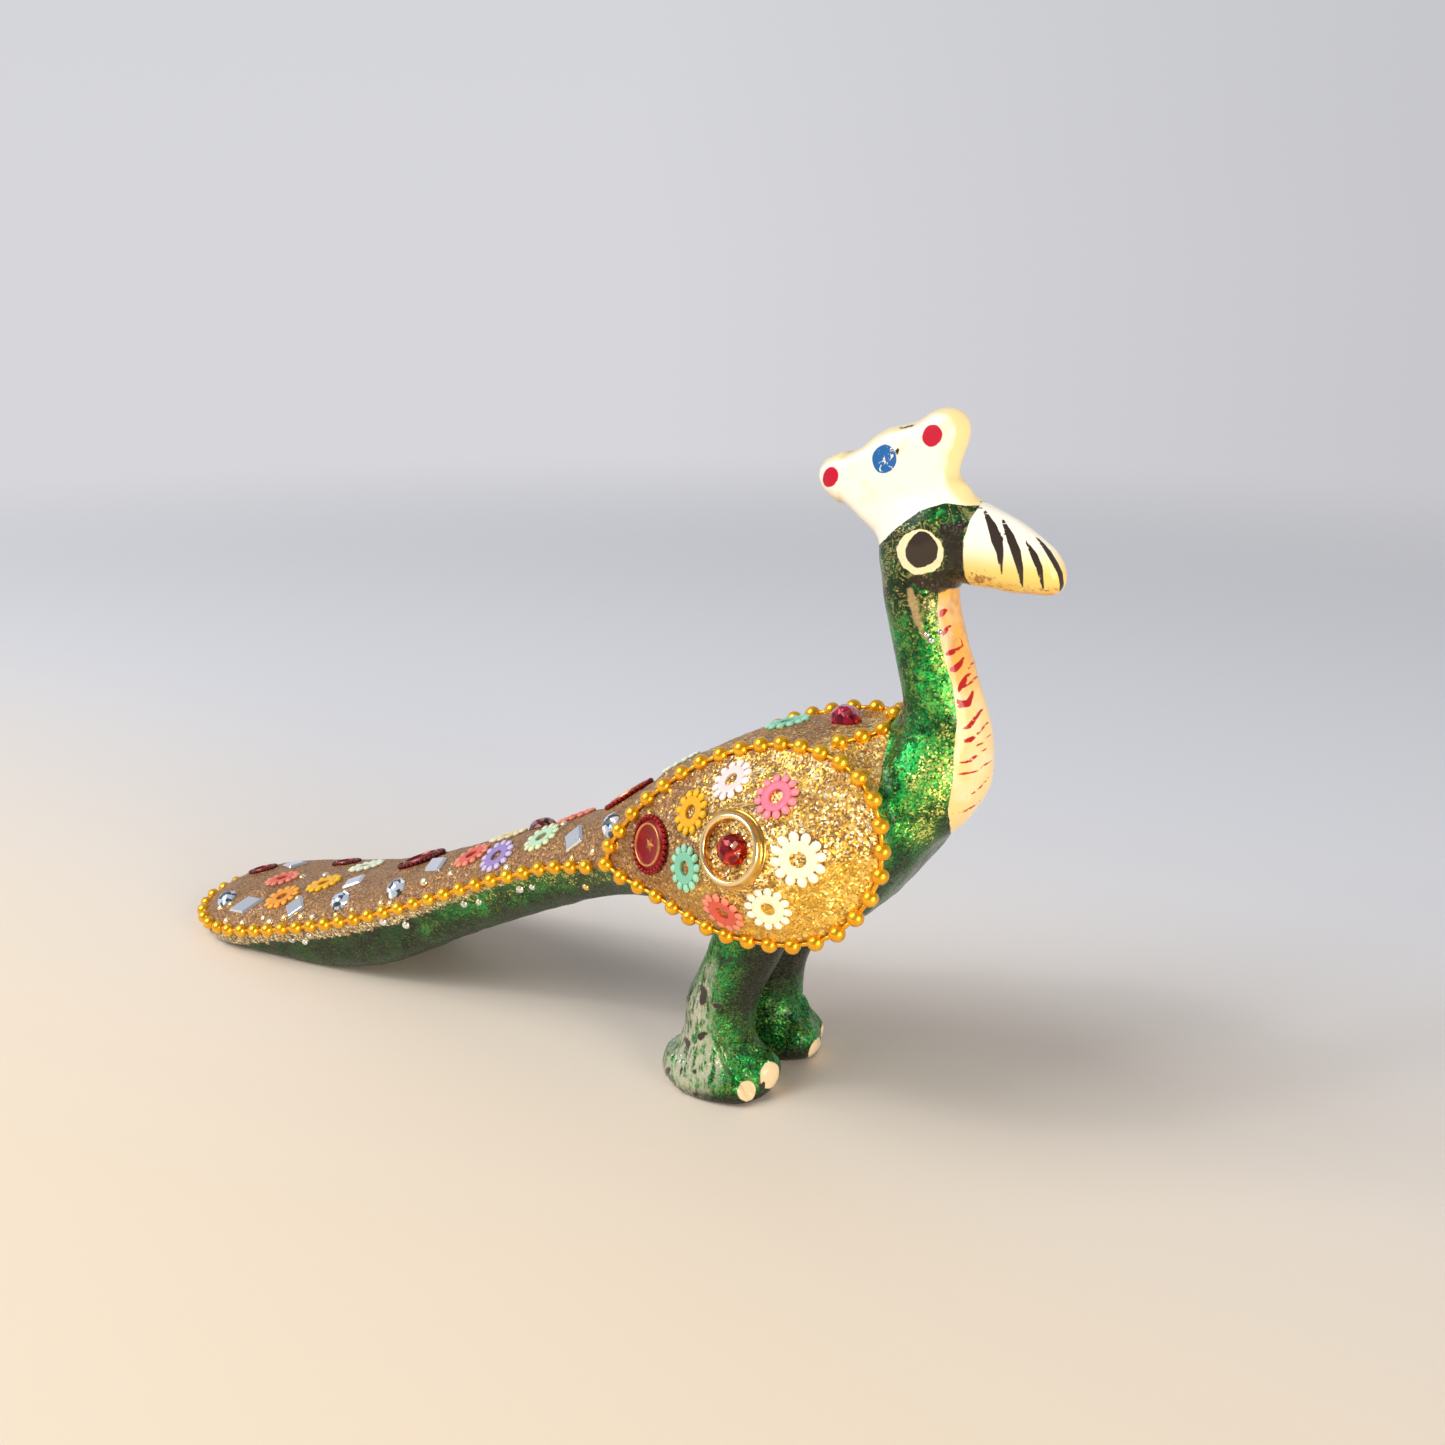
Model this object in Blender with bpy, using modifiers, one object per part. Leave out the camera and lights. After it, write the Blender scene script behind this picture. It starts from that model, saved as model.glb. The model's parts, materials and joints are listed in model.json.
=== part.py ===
"""Resin (lac) peacock figurine, trimmed with bead chain, sequins, cut stones and small mirrors.

The beak points along +X, +Z is up, and the bird is symmetric about y = 0. It stands on two feet and on
the underside of its tail, and its origin is on the floor under the middle of its length.
"""

import math

import bmesh
import bpy
import numpy as np
from mathutils import Matrix, Vector
from mathutils.bvhtree import BVHTree
from mathutils.geometry import tessellate_polygon

# Driving dimensions, in metres
FIGURE_HEIGHT = 0.0848
SEAT_GAP = 0.0003
BEAD_DIAMETER = 0.0020
BEAD_PITCH = 0.0029
BEAD_LINK_DIAMETER = 0.0008
FLOWER_DIAMETER = 0.0056
LARGE_FLOWER_DIAMETER = 0.0064
FLOWER_THICKNESS = 0.0005
CUP_SEQUIN_DIAMETER = 0.0073
SMALL_CUP_SEQUIN_DIAMETER = 0.0046
CUP_SEQUIN_HEIGHT = 0.0010
RING_OUTER_DIAMETER = 0.0091
RING_INNER_DIAMETER = 0.0064
RING_HEIGHT = 0.0014
STONE_DIAMETER = 0.0040
STONE_HEIGHT = 0.0018
RHINESTONE_DIAMETER = 0.0034
RHINESTONE_HEIGHT = 0.0013
MIRROR_SIDE = 0.0029
DIAMOND_LENGTH = 0.0068
DIAMOND_WIDTH = 0.0036
MIRROR_THICKNESS = 0.0006

# The free form is drawn on a grid on which the figure stands 84.8 units tall, feet at x = 0
FIGURE_UNITS_TALL = 84.8
UNIT = FIGURE_HEIGHT / FIGURE_UNITS_TALL
VOXEL = 0.6 * UNIT
BODY_TRIANGLES = 2400
SOLE_FLATNESS = 0.08 * UNIT

# Sections of tail and trunk from the tail's tip forward: x, half width, height of the widest line,
# top, underside and roundness of the underside
TRUNK_SECTIONS = [
    (-96.7, 1.0, 2.6, 3.4, 1.6, 0.45),
    (-95.6, 5.6, 2.6, 4.4, 0.6, 0.45),
    (-92.3, 9.8, 2.6, 5.6, -0.2, 0.45),
    (-87.4, 12.3, 2.9, 6.6, -0.5, 0.45),
    (-82.0, 13.1, 3.7, 7.7, -0.8, 0.45),
    (-74.0, 12.7, 5.5, 9.6, -0.9, 0.45),
    (-66.0, 11.9, 7.7, 11.9, -0.6, 0.45),
    (-56.0, 11.0, 11.2, 15.5, 2.2, 0.45),
    (-46.0, 9.8, 15.5, 19.8, 7.6, 0.5),
    (-36.0, 8.8, 19.9, 24.0, 12.7, 0.55),
    (-26.0, 8.3, 24.0, 28.5, 17.4, 0.6),
    (-18.0, 9.0, 27.2, 32.7, 20.6, 0.7),
    (-10.0, 10.9, 31.0, 38.9, 22.5, 0.7),
    (0.0, 13.2, 34.4, 44.6, 22.6, 0.7),
    (8.0, 14.0, 36.0, 47.1, 22.0, 0.7),
    (16.0, 12.6, 37.4, 47.5, 24.8, 0.7),
    (22.0, 9.4, 39.6, 45.8, 31.6, 0.7),
    (26.0, 5.6, 41.4, 44.0, 37.4, 0.7),
    (28.0, 2.0, 42.0, 43.0, 40.6, 0.7),
]
TRUNK_TOP_POWER = 0.9
# Level sections of breast, neck and head going up: height, middle x, half length, half width
NECK_SECTIONS = [
    (27.0, 12.0, 5.6, 8.0),
    (33.0, 14.6, 6.4, 8.2),
    (38.0, 19.3, 8.0, 8.2),
    (43.0, 22.6, 7.7, 7.8),
    (47.0, 24.6, 6.0, 6.5),
    (51.0, 25.2, 4.8, 5.0),
    (55.0, 24.2, 4.5, 4.6),
    (60.0, 22.6, 4.3, 4.3),
    (64.5, 21.5, 4.2, 4.3),
    (68.0, 21.5, 4.8, 4.7),
    (71.0, 21.9, 5.2, 4.9),
    (73.5, 22.3, 4.8, 4.3),
    (75.4, 22.8, 3.2, 2.9),
]
# Upright sections of the beak going forward: x, half height, half width, height of the middle
BEAK_SECTIONS = [
    (22.0, 3.9, 3.6, 71.0),
    (26.0, 4.6, 3.9, 70.9),
    (30.0, 4.3, 3.5, 70.2),
    (34.0, 3.4, 2.9, 69.2),
    (36.8, 2.3, 2.1, 68.2),
    (38.2, 0.8, 0.9, 67.7),
]
# Level sections of the right leg going up: height, middle x, middle y, half length, half width
LEG_SECTIONS = [
    (-0.5, -1.2, -6.2, 6.9, 4.9),
    (1.4, -1.2, -6.3, 7.6, 5.6),
    (3.2, -1.4, -6.3, 7.2, 5.4),
    (5.4, -1.6, -6.2, 5.9, 5.0),
    (8.0, -1.4, -6.0, 4.8, 4.7),
    (12.0, -0.7, -5.6, 4.6, 4.6),
    (17.0, 1.4, -5.2, 4.6, 4.5),
    (22.0, 3.4, -4.8, 5.0, 4.6),
    (27.0, 4.2, -4.4, 5.2, 4.6),
]
TOE_RADIUS = 3.0
TOE_MIDDLES = [(3.9, -4.6, 2.8), (2.7, -8.3, 2.2)]
# Outline of the flat crest in the plane of symmetry: x, height
CREST_OUTLINE = [
    (17.4, 70.2),
    (13.3, 72.9),
    (9.2, 75.8),
    (9.9, 78.2),
    (13.6, 79.7),
    (17.0, 82.3),
    (20.6, 83.1),
    (23.6, 84.9),
    (26.2, 83.4),
    (25.8, 80.0),
    (25.0, 77.6),
    (27.0, 75.4),
    (28.0, 71.4),
]
CREST_HALF_THICKNESS = 2.7
# The bead chain round a wing panel, a closed curve: x, distance from the plane of symmetry, height
WING_CHAIN_ROUTE = [
    (-14.2, 10.0, 28.3),
    (-7.5, 11.8, 26.8),
    (2.0, 14.2, 24.8),
    (11.0, 14.6, 25.0),
    (19.0, 13.8, 27.7),
    (23.6, 12.2, 34.4),
    (23.6, 12.2, 42.6),
    (18.6, 10.9, 47.2),
    (8.9, 8.8, 47.4),
    (0.0, 8.6, 44.0),
    (-7.5, 9.6, 37.8),
    (-12.6, 10.2, 31.6),
]
# The left wing's chain turns back sooner at the breast than the right one's: by up to the first length, and
# by up to the second one more where it is low
LEFT_CHAIN_SETBACK = 3.2
LEFT_CHAIN_LOW_SETBACK = 2.4
LEFT_CHAIN_LOW_FROM = 37.0
LEFT_CHAIN_LOW_TO = 31.0
# Half of the chain that meets in a V at the foot of the neck, from the wing to the middle
NECK_CHAIN_ROUTE = [
    (13.4, 8.4, 47.6),
    (15.4, 6.0, 48.0),
    (17.2, 3.6, 48.8),
    (18.4, 1.4, 49.9),
    (18.8, 0.0, 50.2),
]
# Half of the chain round the tail, from the tip to the wing
TAIL_CHAIN_ROUTE = [
    (-97.0, 0.0, 2.8),
    (-96.0, 6.2, 2.8),
    (-92.4, 11.0, 2.8),
    (-88.0, 13.6, 3.0),
    (-82.0, 14.4, 3.8),
    (-74.0, 13.8, 5.7),
    (-66.0, 13.1, 8.0),
    (-56.0, 12.1, 11.5),
    (-46.0, 10.7, 15.8),
    (-36.0, 9.5, 20.3),
    (-26.0, 8.8, 24.4),
    (-18.0, 9.4, 26.9),
]
CHAIN_SIDES = 6
# The wing panel swells from its chain out to this distance from the plane of symmetry
WING_CROWN = 16.8
WING_CROWN_MIDDLE = (6.0, 32.8)
WING_RIM_INSET = 1.1
WING_SWELL_POWER = 2.4
WING_REAR_SWELL_POWER = 1.4
WING_ROOT = 4.0

# Colours
GOLD = (0.83, 0.47, 0.04)
GARNET = (0.25, 0.01, 0.015)
RED = (0.45, 0.01, 0.015)
PLUM = (0.2, 0.01, 0.05)
SILVER = (0.75, 0.78, 0.82)
CREAM = (0.9, 0.82, 0.5)
BLUSH = (0.9, 0.62, 0.55)
PINK = (0.8, 0.13, 0.17)
CORAL = (0.78, 0.1, 0.05)
YELLOW = (0.85, 0.4, 0.02)
ORANGE = (0.8, 0.22, 0.01)
TEAL = (0.12, 0.5, 0.36)
MINT = (0.42, 0.75, 0.42)
PALE_GOLD = (0.75, 0.62, 0.3)
PALE_MINT = (0.6, 0.75, 0.55)
VIOLET = (0.22, 0.13, 0.5)
BODY_GREEN = (0.01, 0.16, 0.03)

# What is stuck on a wing panel, mirrored for the other wing: name, kind, colour, x, height, turn in degrees
WING_TRIM = [
    ("ring", "ring", GOLD, 7.8, 36.8, 0.0),
    ("ring_stone", "stone", RED, 7.8, 36.8, 22.5),
    ("flower_cream_large", "large_flower", CREAM, 15.4, 37.1, 0.0),
    ("flower_cream", "flower", CREAM, 12.1, 30.9, 10.0),
    ("flower_coral", "flower", CORAL, 6.3, 29.1, 0.0),
    ("flower_teal", "flower", TEAL, 1.0, 32.7, 0.0),
    ("flower_yellow", "flower", YELLOW, -0.2, 38.2, 10.0),
    ("flower_blush", "flower", BLUSH, 4.5, 42.4, 0.0),
    ("flower_pink", "flower", PINK, 11.6, 42.6, 10.0),
    ("cup_sequin", "cup", GARNET, -6.1, 32.9, 0.0),
]
# What is stuck on the back and the tail: name, kind, colour, x, y, turn in degrees
BACK_TRIM = [
    ("back_stone", "stone", PLUM, 11.8, 1.3, 22.5),
    ("back_flower_teal", "flower", TEAL, 4.9, 0.0, 0.0),
    ("back_flower_pale", "flower", PALE_MINT, -10.0, -0.5, 10.0),
    ("back_cup_sequin", "cup", GARNET, -17.0, -1.8, 0.0),
    ("back_rhinestone", "rhinestone", SILVER, -14.8, -8.4, 22.5),
    ("tail_mirror_1", "mirror", SILVER, -21.9, -7.1, 15.0),
    ("tail_flower_coral_1", "flower", CORAL, -28.0, 0.7, 0.0),
    ("tail_flower_mint", "flower", MINT, -29.0, -5.2, 10.0),
    ("tail_stone", "stone", GARNET, -35.6, 2.6, 22.5),
    ("tail_flower_violet", "flower", VIOLET, -35.5, -6.8, 0.0),
    ("tail_flower_pale_gold", "flower", PALE_GOLD, -40.0, 0.5, 0.0),
    ("tail_flower_coral_2", "flower", CORAL, -41.5, -5.3, 10.0),
    ("tail_mirror_2", "diamond", SILVER, -48.0, -5.6, 18.0),
    ("tail_rhinestone_1", "rhinestone", SILVER, -52.4, -9.0, 22.5),
    ("tail_cup_sequin_1", "cup", GARNET, -55.5, -0.8, 0.0),
    ("tail_rhinestone_2", "rhinestone", SILVER, -62.7, -10.0, 22.5),
    ("tail_mirror_3", "mirror", SILVER, -64.4, -5.8, 45.0),
    ("tail_flower_mint_pale", "flower", PALE_MINT, -69.4, 1.4, 0.0),
    ("tail_mirror_4", "mirror", SILVER, -71.4, -10.8, 20.0),
    ("tail_flower_yellow", "flower", YELLOW, -71.3, -5.4, 10.0),
    ("tail_flower_orange", "flower", ORANGE, -76.4, -9.0, 0.0),
    ("tail_cup_sequin_2", "small_cup", GARNET, -77.9, 5.2, 0.0),
    ("tail_mirror_5", "diamond", SILVER, -82.2, -10.8, 44.0),
    ("tail_flower_coral_3", "flower", CORAL, -82.8, -3.4, 10.0),
    ("tail_mirror_6", "mirror", SILVER, -87.4, 3.0, 45.0),
    ("tail_rhinestone_3", "rhinestone", SILVER, -88.4, -9.5, 22.5),
    ("tail_cup_sequin_3", "small_cup", GARNET, -92.0, 0.6, 0.0),
]
# The back is looked down on from here, under the crest
BACK_SIGHT_HEIGHT = 60.0
FLOWER_PETALS = 10
FLOWER_NOTCH = 0.68
FLOWER_HOLE = 0.27
FLOWER_HOLE_SIDES = 6
ROUND_SIDES = 12
STONE_SIDES = 8
DIAMOND_CORNERS = [(1, 0), (0, 1), (-1, 0), (0, -1)]
MIRROR_FACE_SHARE = 0.84
MERGE_DISTANCE = 1e-6


def add_object(name, mesh, collection):
    """Adds a mesh to a collection as a named object."""
    thing = bpy.data.objects.new(name, mesh)
    collection.objects.link(thing)
    return thing


def mesh_from(bm, name):
    """Turns a bmesh into a mesh whose faces point outwards."""
    bmesh.ops.recalc_face_normals(bm, faces=bm.faces)
    mesh = bpy.data.meshes.new(name)
    bm.to_mesh(mesh)
    bm.free()
    return mesh


def smooth_rows(rows, between):
    """Rows of a Catmull-Rom spline through the given rows, with so many steps between two of them."""
    table = np.array(rows, dtype=float)
    padded = np.vstack([2 * table[0] - table[1], table, 2 * table[-1] - table[-2]])
    steps = np.linspace(0, 1, between, endpoint=False)[:, None]
    out = [spline_step(padded[i : i + 4], steps) for i in range(len(table) - 1)]
    return np.vstack(out + [table[-1:]])


def closed_rows(rows, between):
    """The same for a closed curve."""
    table = np.array(rows, dtype=float)
    steps = np.linspace(0, 1, between, endpoint=False)[:, None]
    order = range(len(table))
    return np.vstack([spline_step(np.take(table, range(i - 1, i + 3), 0, mode="wrap"), steps) for i in order])


def spline_step(four, steps):
    """The stretch of a Catmull-Rom spline between the middle two of four rows."""
    before, start, end, after = four
    return 0.5 * (
        2 * start
        + (end - before) * steps
        + (2 * before - 5 * start + 4 * end - after) * steps**2
        + (3 * start - before - 3 * end + after) * steps**3
    )


def skin(bm, rings, closed):
    """Skin over rings of equally many points, closed to a loop or else with a fan on each end."""
    rows = [[bm.verts.new(p) for p in ring] for ring in rings]
    count = len(rows[0])
    for low, high in zip(rows, rows[1:] + rows[:1] * closed):
        for i in range(count):
            j = (i + 1) % count
            bm.faces.new((low[i], low[j], high[j], high[i]))
    for row in () if closed else (rows[0], rows[-1]):
        middle = bm.verts.new(sum((v.co for v in row), Vector()) / count)
        for i in range(count):
            bm.faces.new((row[i], row[(i + 1) % count], middle))


def loft(bm, rings):
    """Closed skin over rings given on the drawing's grid."""
    skin(bm, [[Vector(p) * UNIT for p in ring] for ring in rings], False)


def round_power(value, power):
    """Sine or cosine of a superellipse, which keeps its sign."""
    return math.copysign(abs(value) ** power, value)


def trunk_ring(row, sides=40):
    """Upright cross-section of the trunk or tail, widest along one line on each side, squarer below."""
    x, half_width, edge, top, bottom, under_power = row
    ring = []
    for i in range(sides):
        angle = math.tau * i / sides
        above = math.sin(angle) > 0
        power = TRUNK_TOP_POWER if above else under_power
        across = half_width * round_power(math.cos(angle), power)
        reach = (top - edge) if above else (edge - bottom)
        ring.append((x, across, edge + reach * round_power(math.sin(angle), power)))
    return ring


def level_ring(height, x, y, half_length, half_width, sides=28):
    """Level ellipse, a section of the neck or of a leg."""
    angles = [math.tau * i / sides for i in range(sides)]
    return [(x + half_length * math.cos(a), y + half_width * math.sin(a), height) for a in angles]


def add_trunk(bm):
    loft(bm, [trunk_ring(row) for row in smooth_rows(TRUNK_SECTIONS, 5)])


def add_neck(bm):
    rows = smooth_rows(NECK_SECTIONS, 4)
    loft(bm, [level_ring(z, x, 0.0, length, width) for z, x, length, width in rows])


def add_wing(bm, side):
    """The swollen wing: a cushion whose rim runs just inside its bead chain."""
    middle = Vector((WING_CROWN_MIDDLE[0], 0, WING_CROWN_MIDDLE[1]))
    rim = [Vector((x, y, z)) for x, y, z in closed_rows(WING_CHAIN_ROUTE, 4)]
    layers = [[(p.x, -side * WING_ROOT, p.z) for p in wing_layer(rim, middle, 0.8)]]
    for step in range(7):
        reach = 1 - step / 7 if step else 1.0
        layers.append([(p.x, -side * p.y, p.z) for p in wing_layer(rim, middle, reach)])
    loft(bm, layers)


def wing_layer(rim, middle, reach):
    """The rim drawn in to a share of its reach from the crown, and swollen towards the crown."""
    points = []
    for p in rim:
        flat = Vector((p.x, 0, p.z)) - middle
        inset = flat * (1 - WING_RIM_INSET / flat.length) * reach + middle
        start = p.y - WING_RIM_INSET
        rearward = max(0.0, -flat.x / flat.length)
        power = WING_SWELL_POWER + (WING_REAR_SWELL_POWER - WING_SWELL_POWER) * rearward
        y = start + (WING_CROWN - start) * (1 - reach**power)
        points.append(Vector((inset.x, y, inset.z)))
    return points


def add_beak(bm, sides=28, squareness=0.9):
    rings = []
    for x, half_height, half_width, middle in smooth_rows(BEAK_SECTIONS, 4):
        ring = []
        for i in range(sides):
            angle = math.tau * i / sides
            across = half_width * round_power(math.cos(angle), squareness)
            ring.append((x, across, middle + half_height * round_power(math.sin(angle), squareness)))
        rings.append(ring)
    loft(bm, rings)


def add_leg(bm, side):
    """One leg with its foot, and two toes that bulge from the foot's front."""
    rows = smooth_rows(LEG_SECTIONS, 4)
    loft(bm, [level_ring(z, x, -side * y, length, width) for z, x, y, length, width in rows])
    for x, y, z in TOE_MIDDLES:
        place = Matrix.Translation(Vector((x, -side * y, z)) * UNIT)
        bmesh.ops.create_uvsphere(bm, u_segments=20, v_segments=12, radius=TOE_RADIUS * UNIT, matrix=place)


def add_crest(bm):
    """Flat fan with a rounded rim: its outline is drawn in four layers either side of the middle."""
    outline = [Vector((x, 0, z)) for x, z in closed_rows(CREST_OUTLINE, 4)]
    middle = sum(outline, Vector()) / len(outline)
    layers = []
    for i in range(9):
        lean = math.pi * (i / 8 - 0.5)
        inset = 1.6 * (1 - math.cos(lean))
        y = CREST_HALF_THICKNESS * math.sin(lean)
        ring = [p + (middle - p).normalized() * inset + Vector((0, y, 0)) for p in outline]
        layers.append([tuple(p) for p in ring])
    loft(bm, layers)


def evaluated_mesh(thing):
    """The mesh of an object with its modifiers applied."""
    depsgraph = bpy.context.evaluated_depsgraph_get()
    return bpy.data.meshes.new_from_object(thing.evaluated_get(depsgraph))


def make_body(collection):
    """The cast body: trunk, neck, beak, crest and legs melted into one skin, with flat soles."""
    bm = bmesh.new()
    add_trunk(bm)
    add_neck(bm)
    add_beak(bm)
    add_crest(bm)
    for side in (-1, 1):
        add_leg(bm, side)
        add_wing(bm, side)
    body = add_object("peacock_body", mesh_from(bm, "peacock_body"), collection)
    melt = body.modifiers.new("melt", "REMESH")
    melt.mode = "VOXEL"
    melt.voxel_size = VOXEL
    soften = body.modifiers.new("soften", "SMOOTH")
    soften.factor = 0.5
    soften.iterations = 8
    level_soles(body)
    thin = body.modifiers.new("thin", "DECIMATE")
    thin.ratio = BODY_TRIANGLES / sum(len(face.vertices) - 2 for face in body.data.polygons)
    level_soles(body)
    return body


def level_soles(body):
    """Applies the body's modifiers and presses flat all that is below the floor or just over it."""
    mesh = evaluated_mesh(body)
    body.modifiers.clear()
    body.data = mesh
    for vertex in mesh.vertices:
        if vertex.co.z < SOLE_FLATNESS:
            vertex.co.z = 0.0


def give_material(thing, colour, roughness, metallic):
    """The object's own material."""
    material = bpy.data.materials.new(thing.name)
    material.use_nodes = True
    shader = material.node_tree.nodes["Principled BSDF"]
    shader.inputs["Base Color"].default_value = (*colour, 1.0)
    shader.inputs["Roughness"].default_value = roughness
    shader.inputs["Metallic"].default_value = metallic
    material.diffuse_color = (*colour, 1.0)
    thing.data.materials.append(material)


def body_tree(body):
    return BVHTree.FromPolygons([v.co for v in body.data.vertices], [p.vertices for p in body.data.polygons])


def clear_of(tree, point, distance):
    """A point moved straight off the nearest surface to the given distance, and the way it then faces."""
    for _ in range(3):
        nearest, normal, _, _ = tree.find_nearest(point)
        away = point - nearest
        facing = away.normalized() if away.dot(normal) > 0 else normal
        point = nearest + facing * distance
    return point, facing


def even_points(points, pitch, closed):
    """Points at an even pitch, as near the given one as fits the length of a line of points."""
    line = np.array([tuple(p) for p in points + points[:1] * closed])
    run = np.concatenate([[0], np.cumsum(np.linalg.norm(np.diff(line, axis=0), axis=1))])
    count = round(run[-1] / pitch)
    stations = np.linspace(0, run[-1], count + 1)[: count + (not closed)]
    return [Vector([np.interp(s, run, line[:, axis]) for axis in range(3)]) for s in stations]


def bead_places(tree, route, closed):
    """Middles of the beads strung along a route close over the body, and the way each faces."""
    off = BEAD_DIAMETER / 2 + SEAT_GAP
    points = [clear_of(tree, Vector(p) * UNIT, off)[0] for p in route]
    return [clear_of(tree, p, off) for p in even_points(points, BEAD_PITCH, closed)]


def ring_round(middle, along, facing, diameter):
    """Corners round a point of a strand that runs along a direction."""
    across = along.cross(facing).normalized()
    over = across.cross(along).normalized()
    turns = [math.tau * (i + 0.5) / CHAIN_SIDES for i in range(CHAIN_SIDES)]
    return [middle + (over * math.cos(a) + across * math.sin(a)) * diameter / 2 for a in turns]


def add_chain(name, places, closed, collection):
    """A strand that swells at each bead and narrows to the thin link between two beads."""
    rings = []
    count = len(places)
    for i, (middle, facing) in enumerate(places):
        before = places[i - 1] if i or closed else places[i]
        after = places[(i + 1) % count] if i < count - 1 or closed else places[i]
        along = (after[0] - before[0]).normalized()
        if not (i or closed):
            rings.append(ring_round(middle - along * BEAD_DIAMETER / 2, along, facing, BEAD_LINK_DIAMETER))
        rings.append(ring_round(middle, along, facing, BEAD_DIAMETER))
        half_way = (middle + after[0]) / 2
        if after is places[i]:
            half_way = middle + along * BEAD_DIAMETER / 2
        rings.append(ring_round(half_way, along, facing + after[1], BEAD_LINK_DIAMETER))
    bm = bmesh.new()
    skin(bm, rings, closed)
    chain = add_object(name, mesh_from(bm, name), collection)
    give_material(chain, GOLD, 0.3, 0.9)
    return chain


def set_back(x, z):
    """How far the left wing's chain is set back, growing from the wing's middle to its front."""
    middle = WING_CROWN_MIDDLE[0]
    front = max(row[0] for row in WING_CHAIN_ROUTE)
    low = (LEFT_CHAIN_LOW_FROM - z) / (LEFT_CHAIN_LOW_FROM - LEFT_CHAIN_LOW_TO)
    most = LEFT_CHAIN_SETBACK + LEFT_CHAIN_LOW_SETBACK * min(1.0, max(0.0, low))
    return most * max(0.0, x - middle) / (front - middle)


def make_chains(tree, collection):
    """Chains round both wings and round the tail, and the one that meets at the foot of the neck."""
    loops = []
    for side, hand in ((1, "right"), (-1, "left")):
        route = [(x, -side * y, z) for x, y, z in closed_rows(WING_CHAIN_ROUTE, 6)]
        if hand == "left":
            route = [(x - set_back(x, z), y, z) for x, y, z in route]
        places = bead_places(tree, route, True)
        loops += places
        add_chain("wing_bead_chain_" + hand, places, True, collection)
    for name, half in (("tail_bead_chain", TAIL_CHAIN_ROUTE[::-1]), ("neck_bead_chain", NECK_CHAIN_ROUTE)):
        far = [(x, -y, z) for x, y, z in half]
        route = smooth_rows(far + half[::-1][1:], 6)
        places = bead_places(tree, route, False)
        apart = BEAD_DIAMETER + SEAT_GAP
        while min((places[0][0] - p).length for p, _ in loops) < apart:
            places = places[1:]
        while min((places[-1][0] - p).length for p, _ in loops) < apart:
            places = places[:-1]
        add_chain(name, places, False, collection)


def flower_mesh(name, diameter):
    """Flat flower sequin with round-cut petals and a hole in the middle."""
    outline = []
    for i in range(2 * FLOWER_PETALS):
        turn = math.pi * i / FLOWER_PETALS
        radius = diameter / 2 * (FLOWER_NOTCH if i % 2 else 1.0)
        outline.append(Vector((radius * math.cos(turn), radius * math.sin(turn), 0)))
    hole = []
    for i in range(FLOWER_HOLE_SIDES):
        turn = math.tau * i / FLOWER_HOLE_SIDES
        hole.append(Vector((math.cos(turn), math.sin(turn), 0)) * diameter / 2 * FLOWER_HOLE)
    bm = bmesh.new()
    levels = []
    for height in (0, FLOWER_THICKNESS):
        levels.append([bm.verts.new(p + Vector((0, 0, height))) for p in outline + hole])
    for low, high, corner in [(*levels, tri) for tri in tessellate_polygon([outline, hole])]:
        bm.faces.new([low[i] for i in corner])
        bm.faces.new([high[i] for i in corner])
    low, high = levels
    for loop in (range(len(outline)), range(len(outline), len(low))):
        for i, j in zip(loop, (*loop[1:], loop[0])):
            bm.faces.new((low[i], low[j], high[j], high[i]))
    return mesh_from(bm, name)


def turned(name, profile, closed, sides, collection):
    """Turned piece: a profile of radius and height, from the top down, wound round the Z axis."""
    mesh = bpy.data.meshes.new(name)
    count = len(profile)
    edges = [(i, (i + 1) % count) for i in range(count if closed else count - 1)]
    mesh.from_pydata([(radius, 0, height) for radius, height in profile], edges, [])
    thing = add_object(name, mesh, collection)
    wind = thing.modifiers.new("wind", "SCREW")
    wind.steps = sides
    wind.render_steps = sides
    wind.use_merge_vertices = True
    wind.merge_threshold = MERGE_DISTANCE
    wind.use_smooth_shade = False
    return thing


def add_ring(name, collection):
    """Gold ring with a sloping skirt, a rounded crest and a steep inner side."""
    outer = RING_OUTER_DIAMETER / 2
    inner = RING_INNER_DIAMETER / 2
    crest = inner + (outer - inner) * 0.4
    profile = [(crest, RING_HEIGHT), (outer, RING_HEIGHT * 0.35), (outer, 0), (inner, 0)]
    profile.append((inner, RING_HEIGHT * 0.6))
    return turned(name, profile, True, ROUND_SIDES + 4, collection)


def add_cup(name, diameter, collection):
    """Sequin with a raised rim round a hollow middle."""
    radius = diameter / 2
    height = CUP_SEQUIN_HEIGHT
    profile = [(0, height * 0.45), (radius * 0.68, height * 0.45), (radius * 0.84, height)]
    profile += [(radius, height * 0.5), (radius, 0), (0, 0)]
    return turned(name, profile, False, ROUND_SIDES, collection)


def add_cut_stone(name, diameter, height, collection):
    """Stone with a flat table, a sloping crown and an upright girdle."""
    radius = diameter / 2
    profile = [(0, height), (radius * 0.55, height), (radius, height * 0.35), (radius, 0), (0, 0)]
    return turned(name, profile, False, STONE_SIDES, collection)


def add_mirror(name, length, width, collection):
    """Small diamond of mirror glass, its diagonals along X and Y, with its edges ground off at the top."""
    bm = bmesh.new()
    rows = []
    for share, height in ((1.0, 0), (1.0, 0.5), (MIRROR_FACE_SHARE, 1.0)):
        size = (length / 2 * share, width / 2 * share)
        z = height * MIRROR_THICKNESS
        rows.append([Vector((x * size[0], y * size[1], z)) for x, y in DIAMOND_CORNERS])
    skin(bm, rows, False)
    return add_object(name, mesh_from(bm, name), collection)


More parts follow.
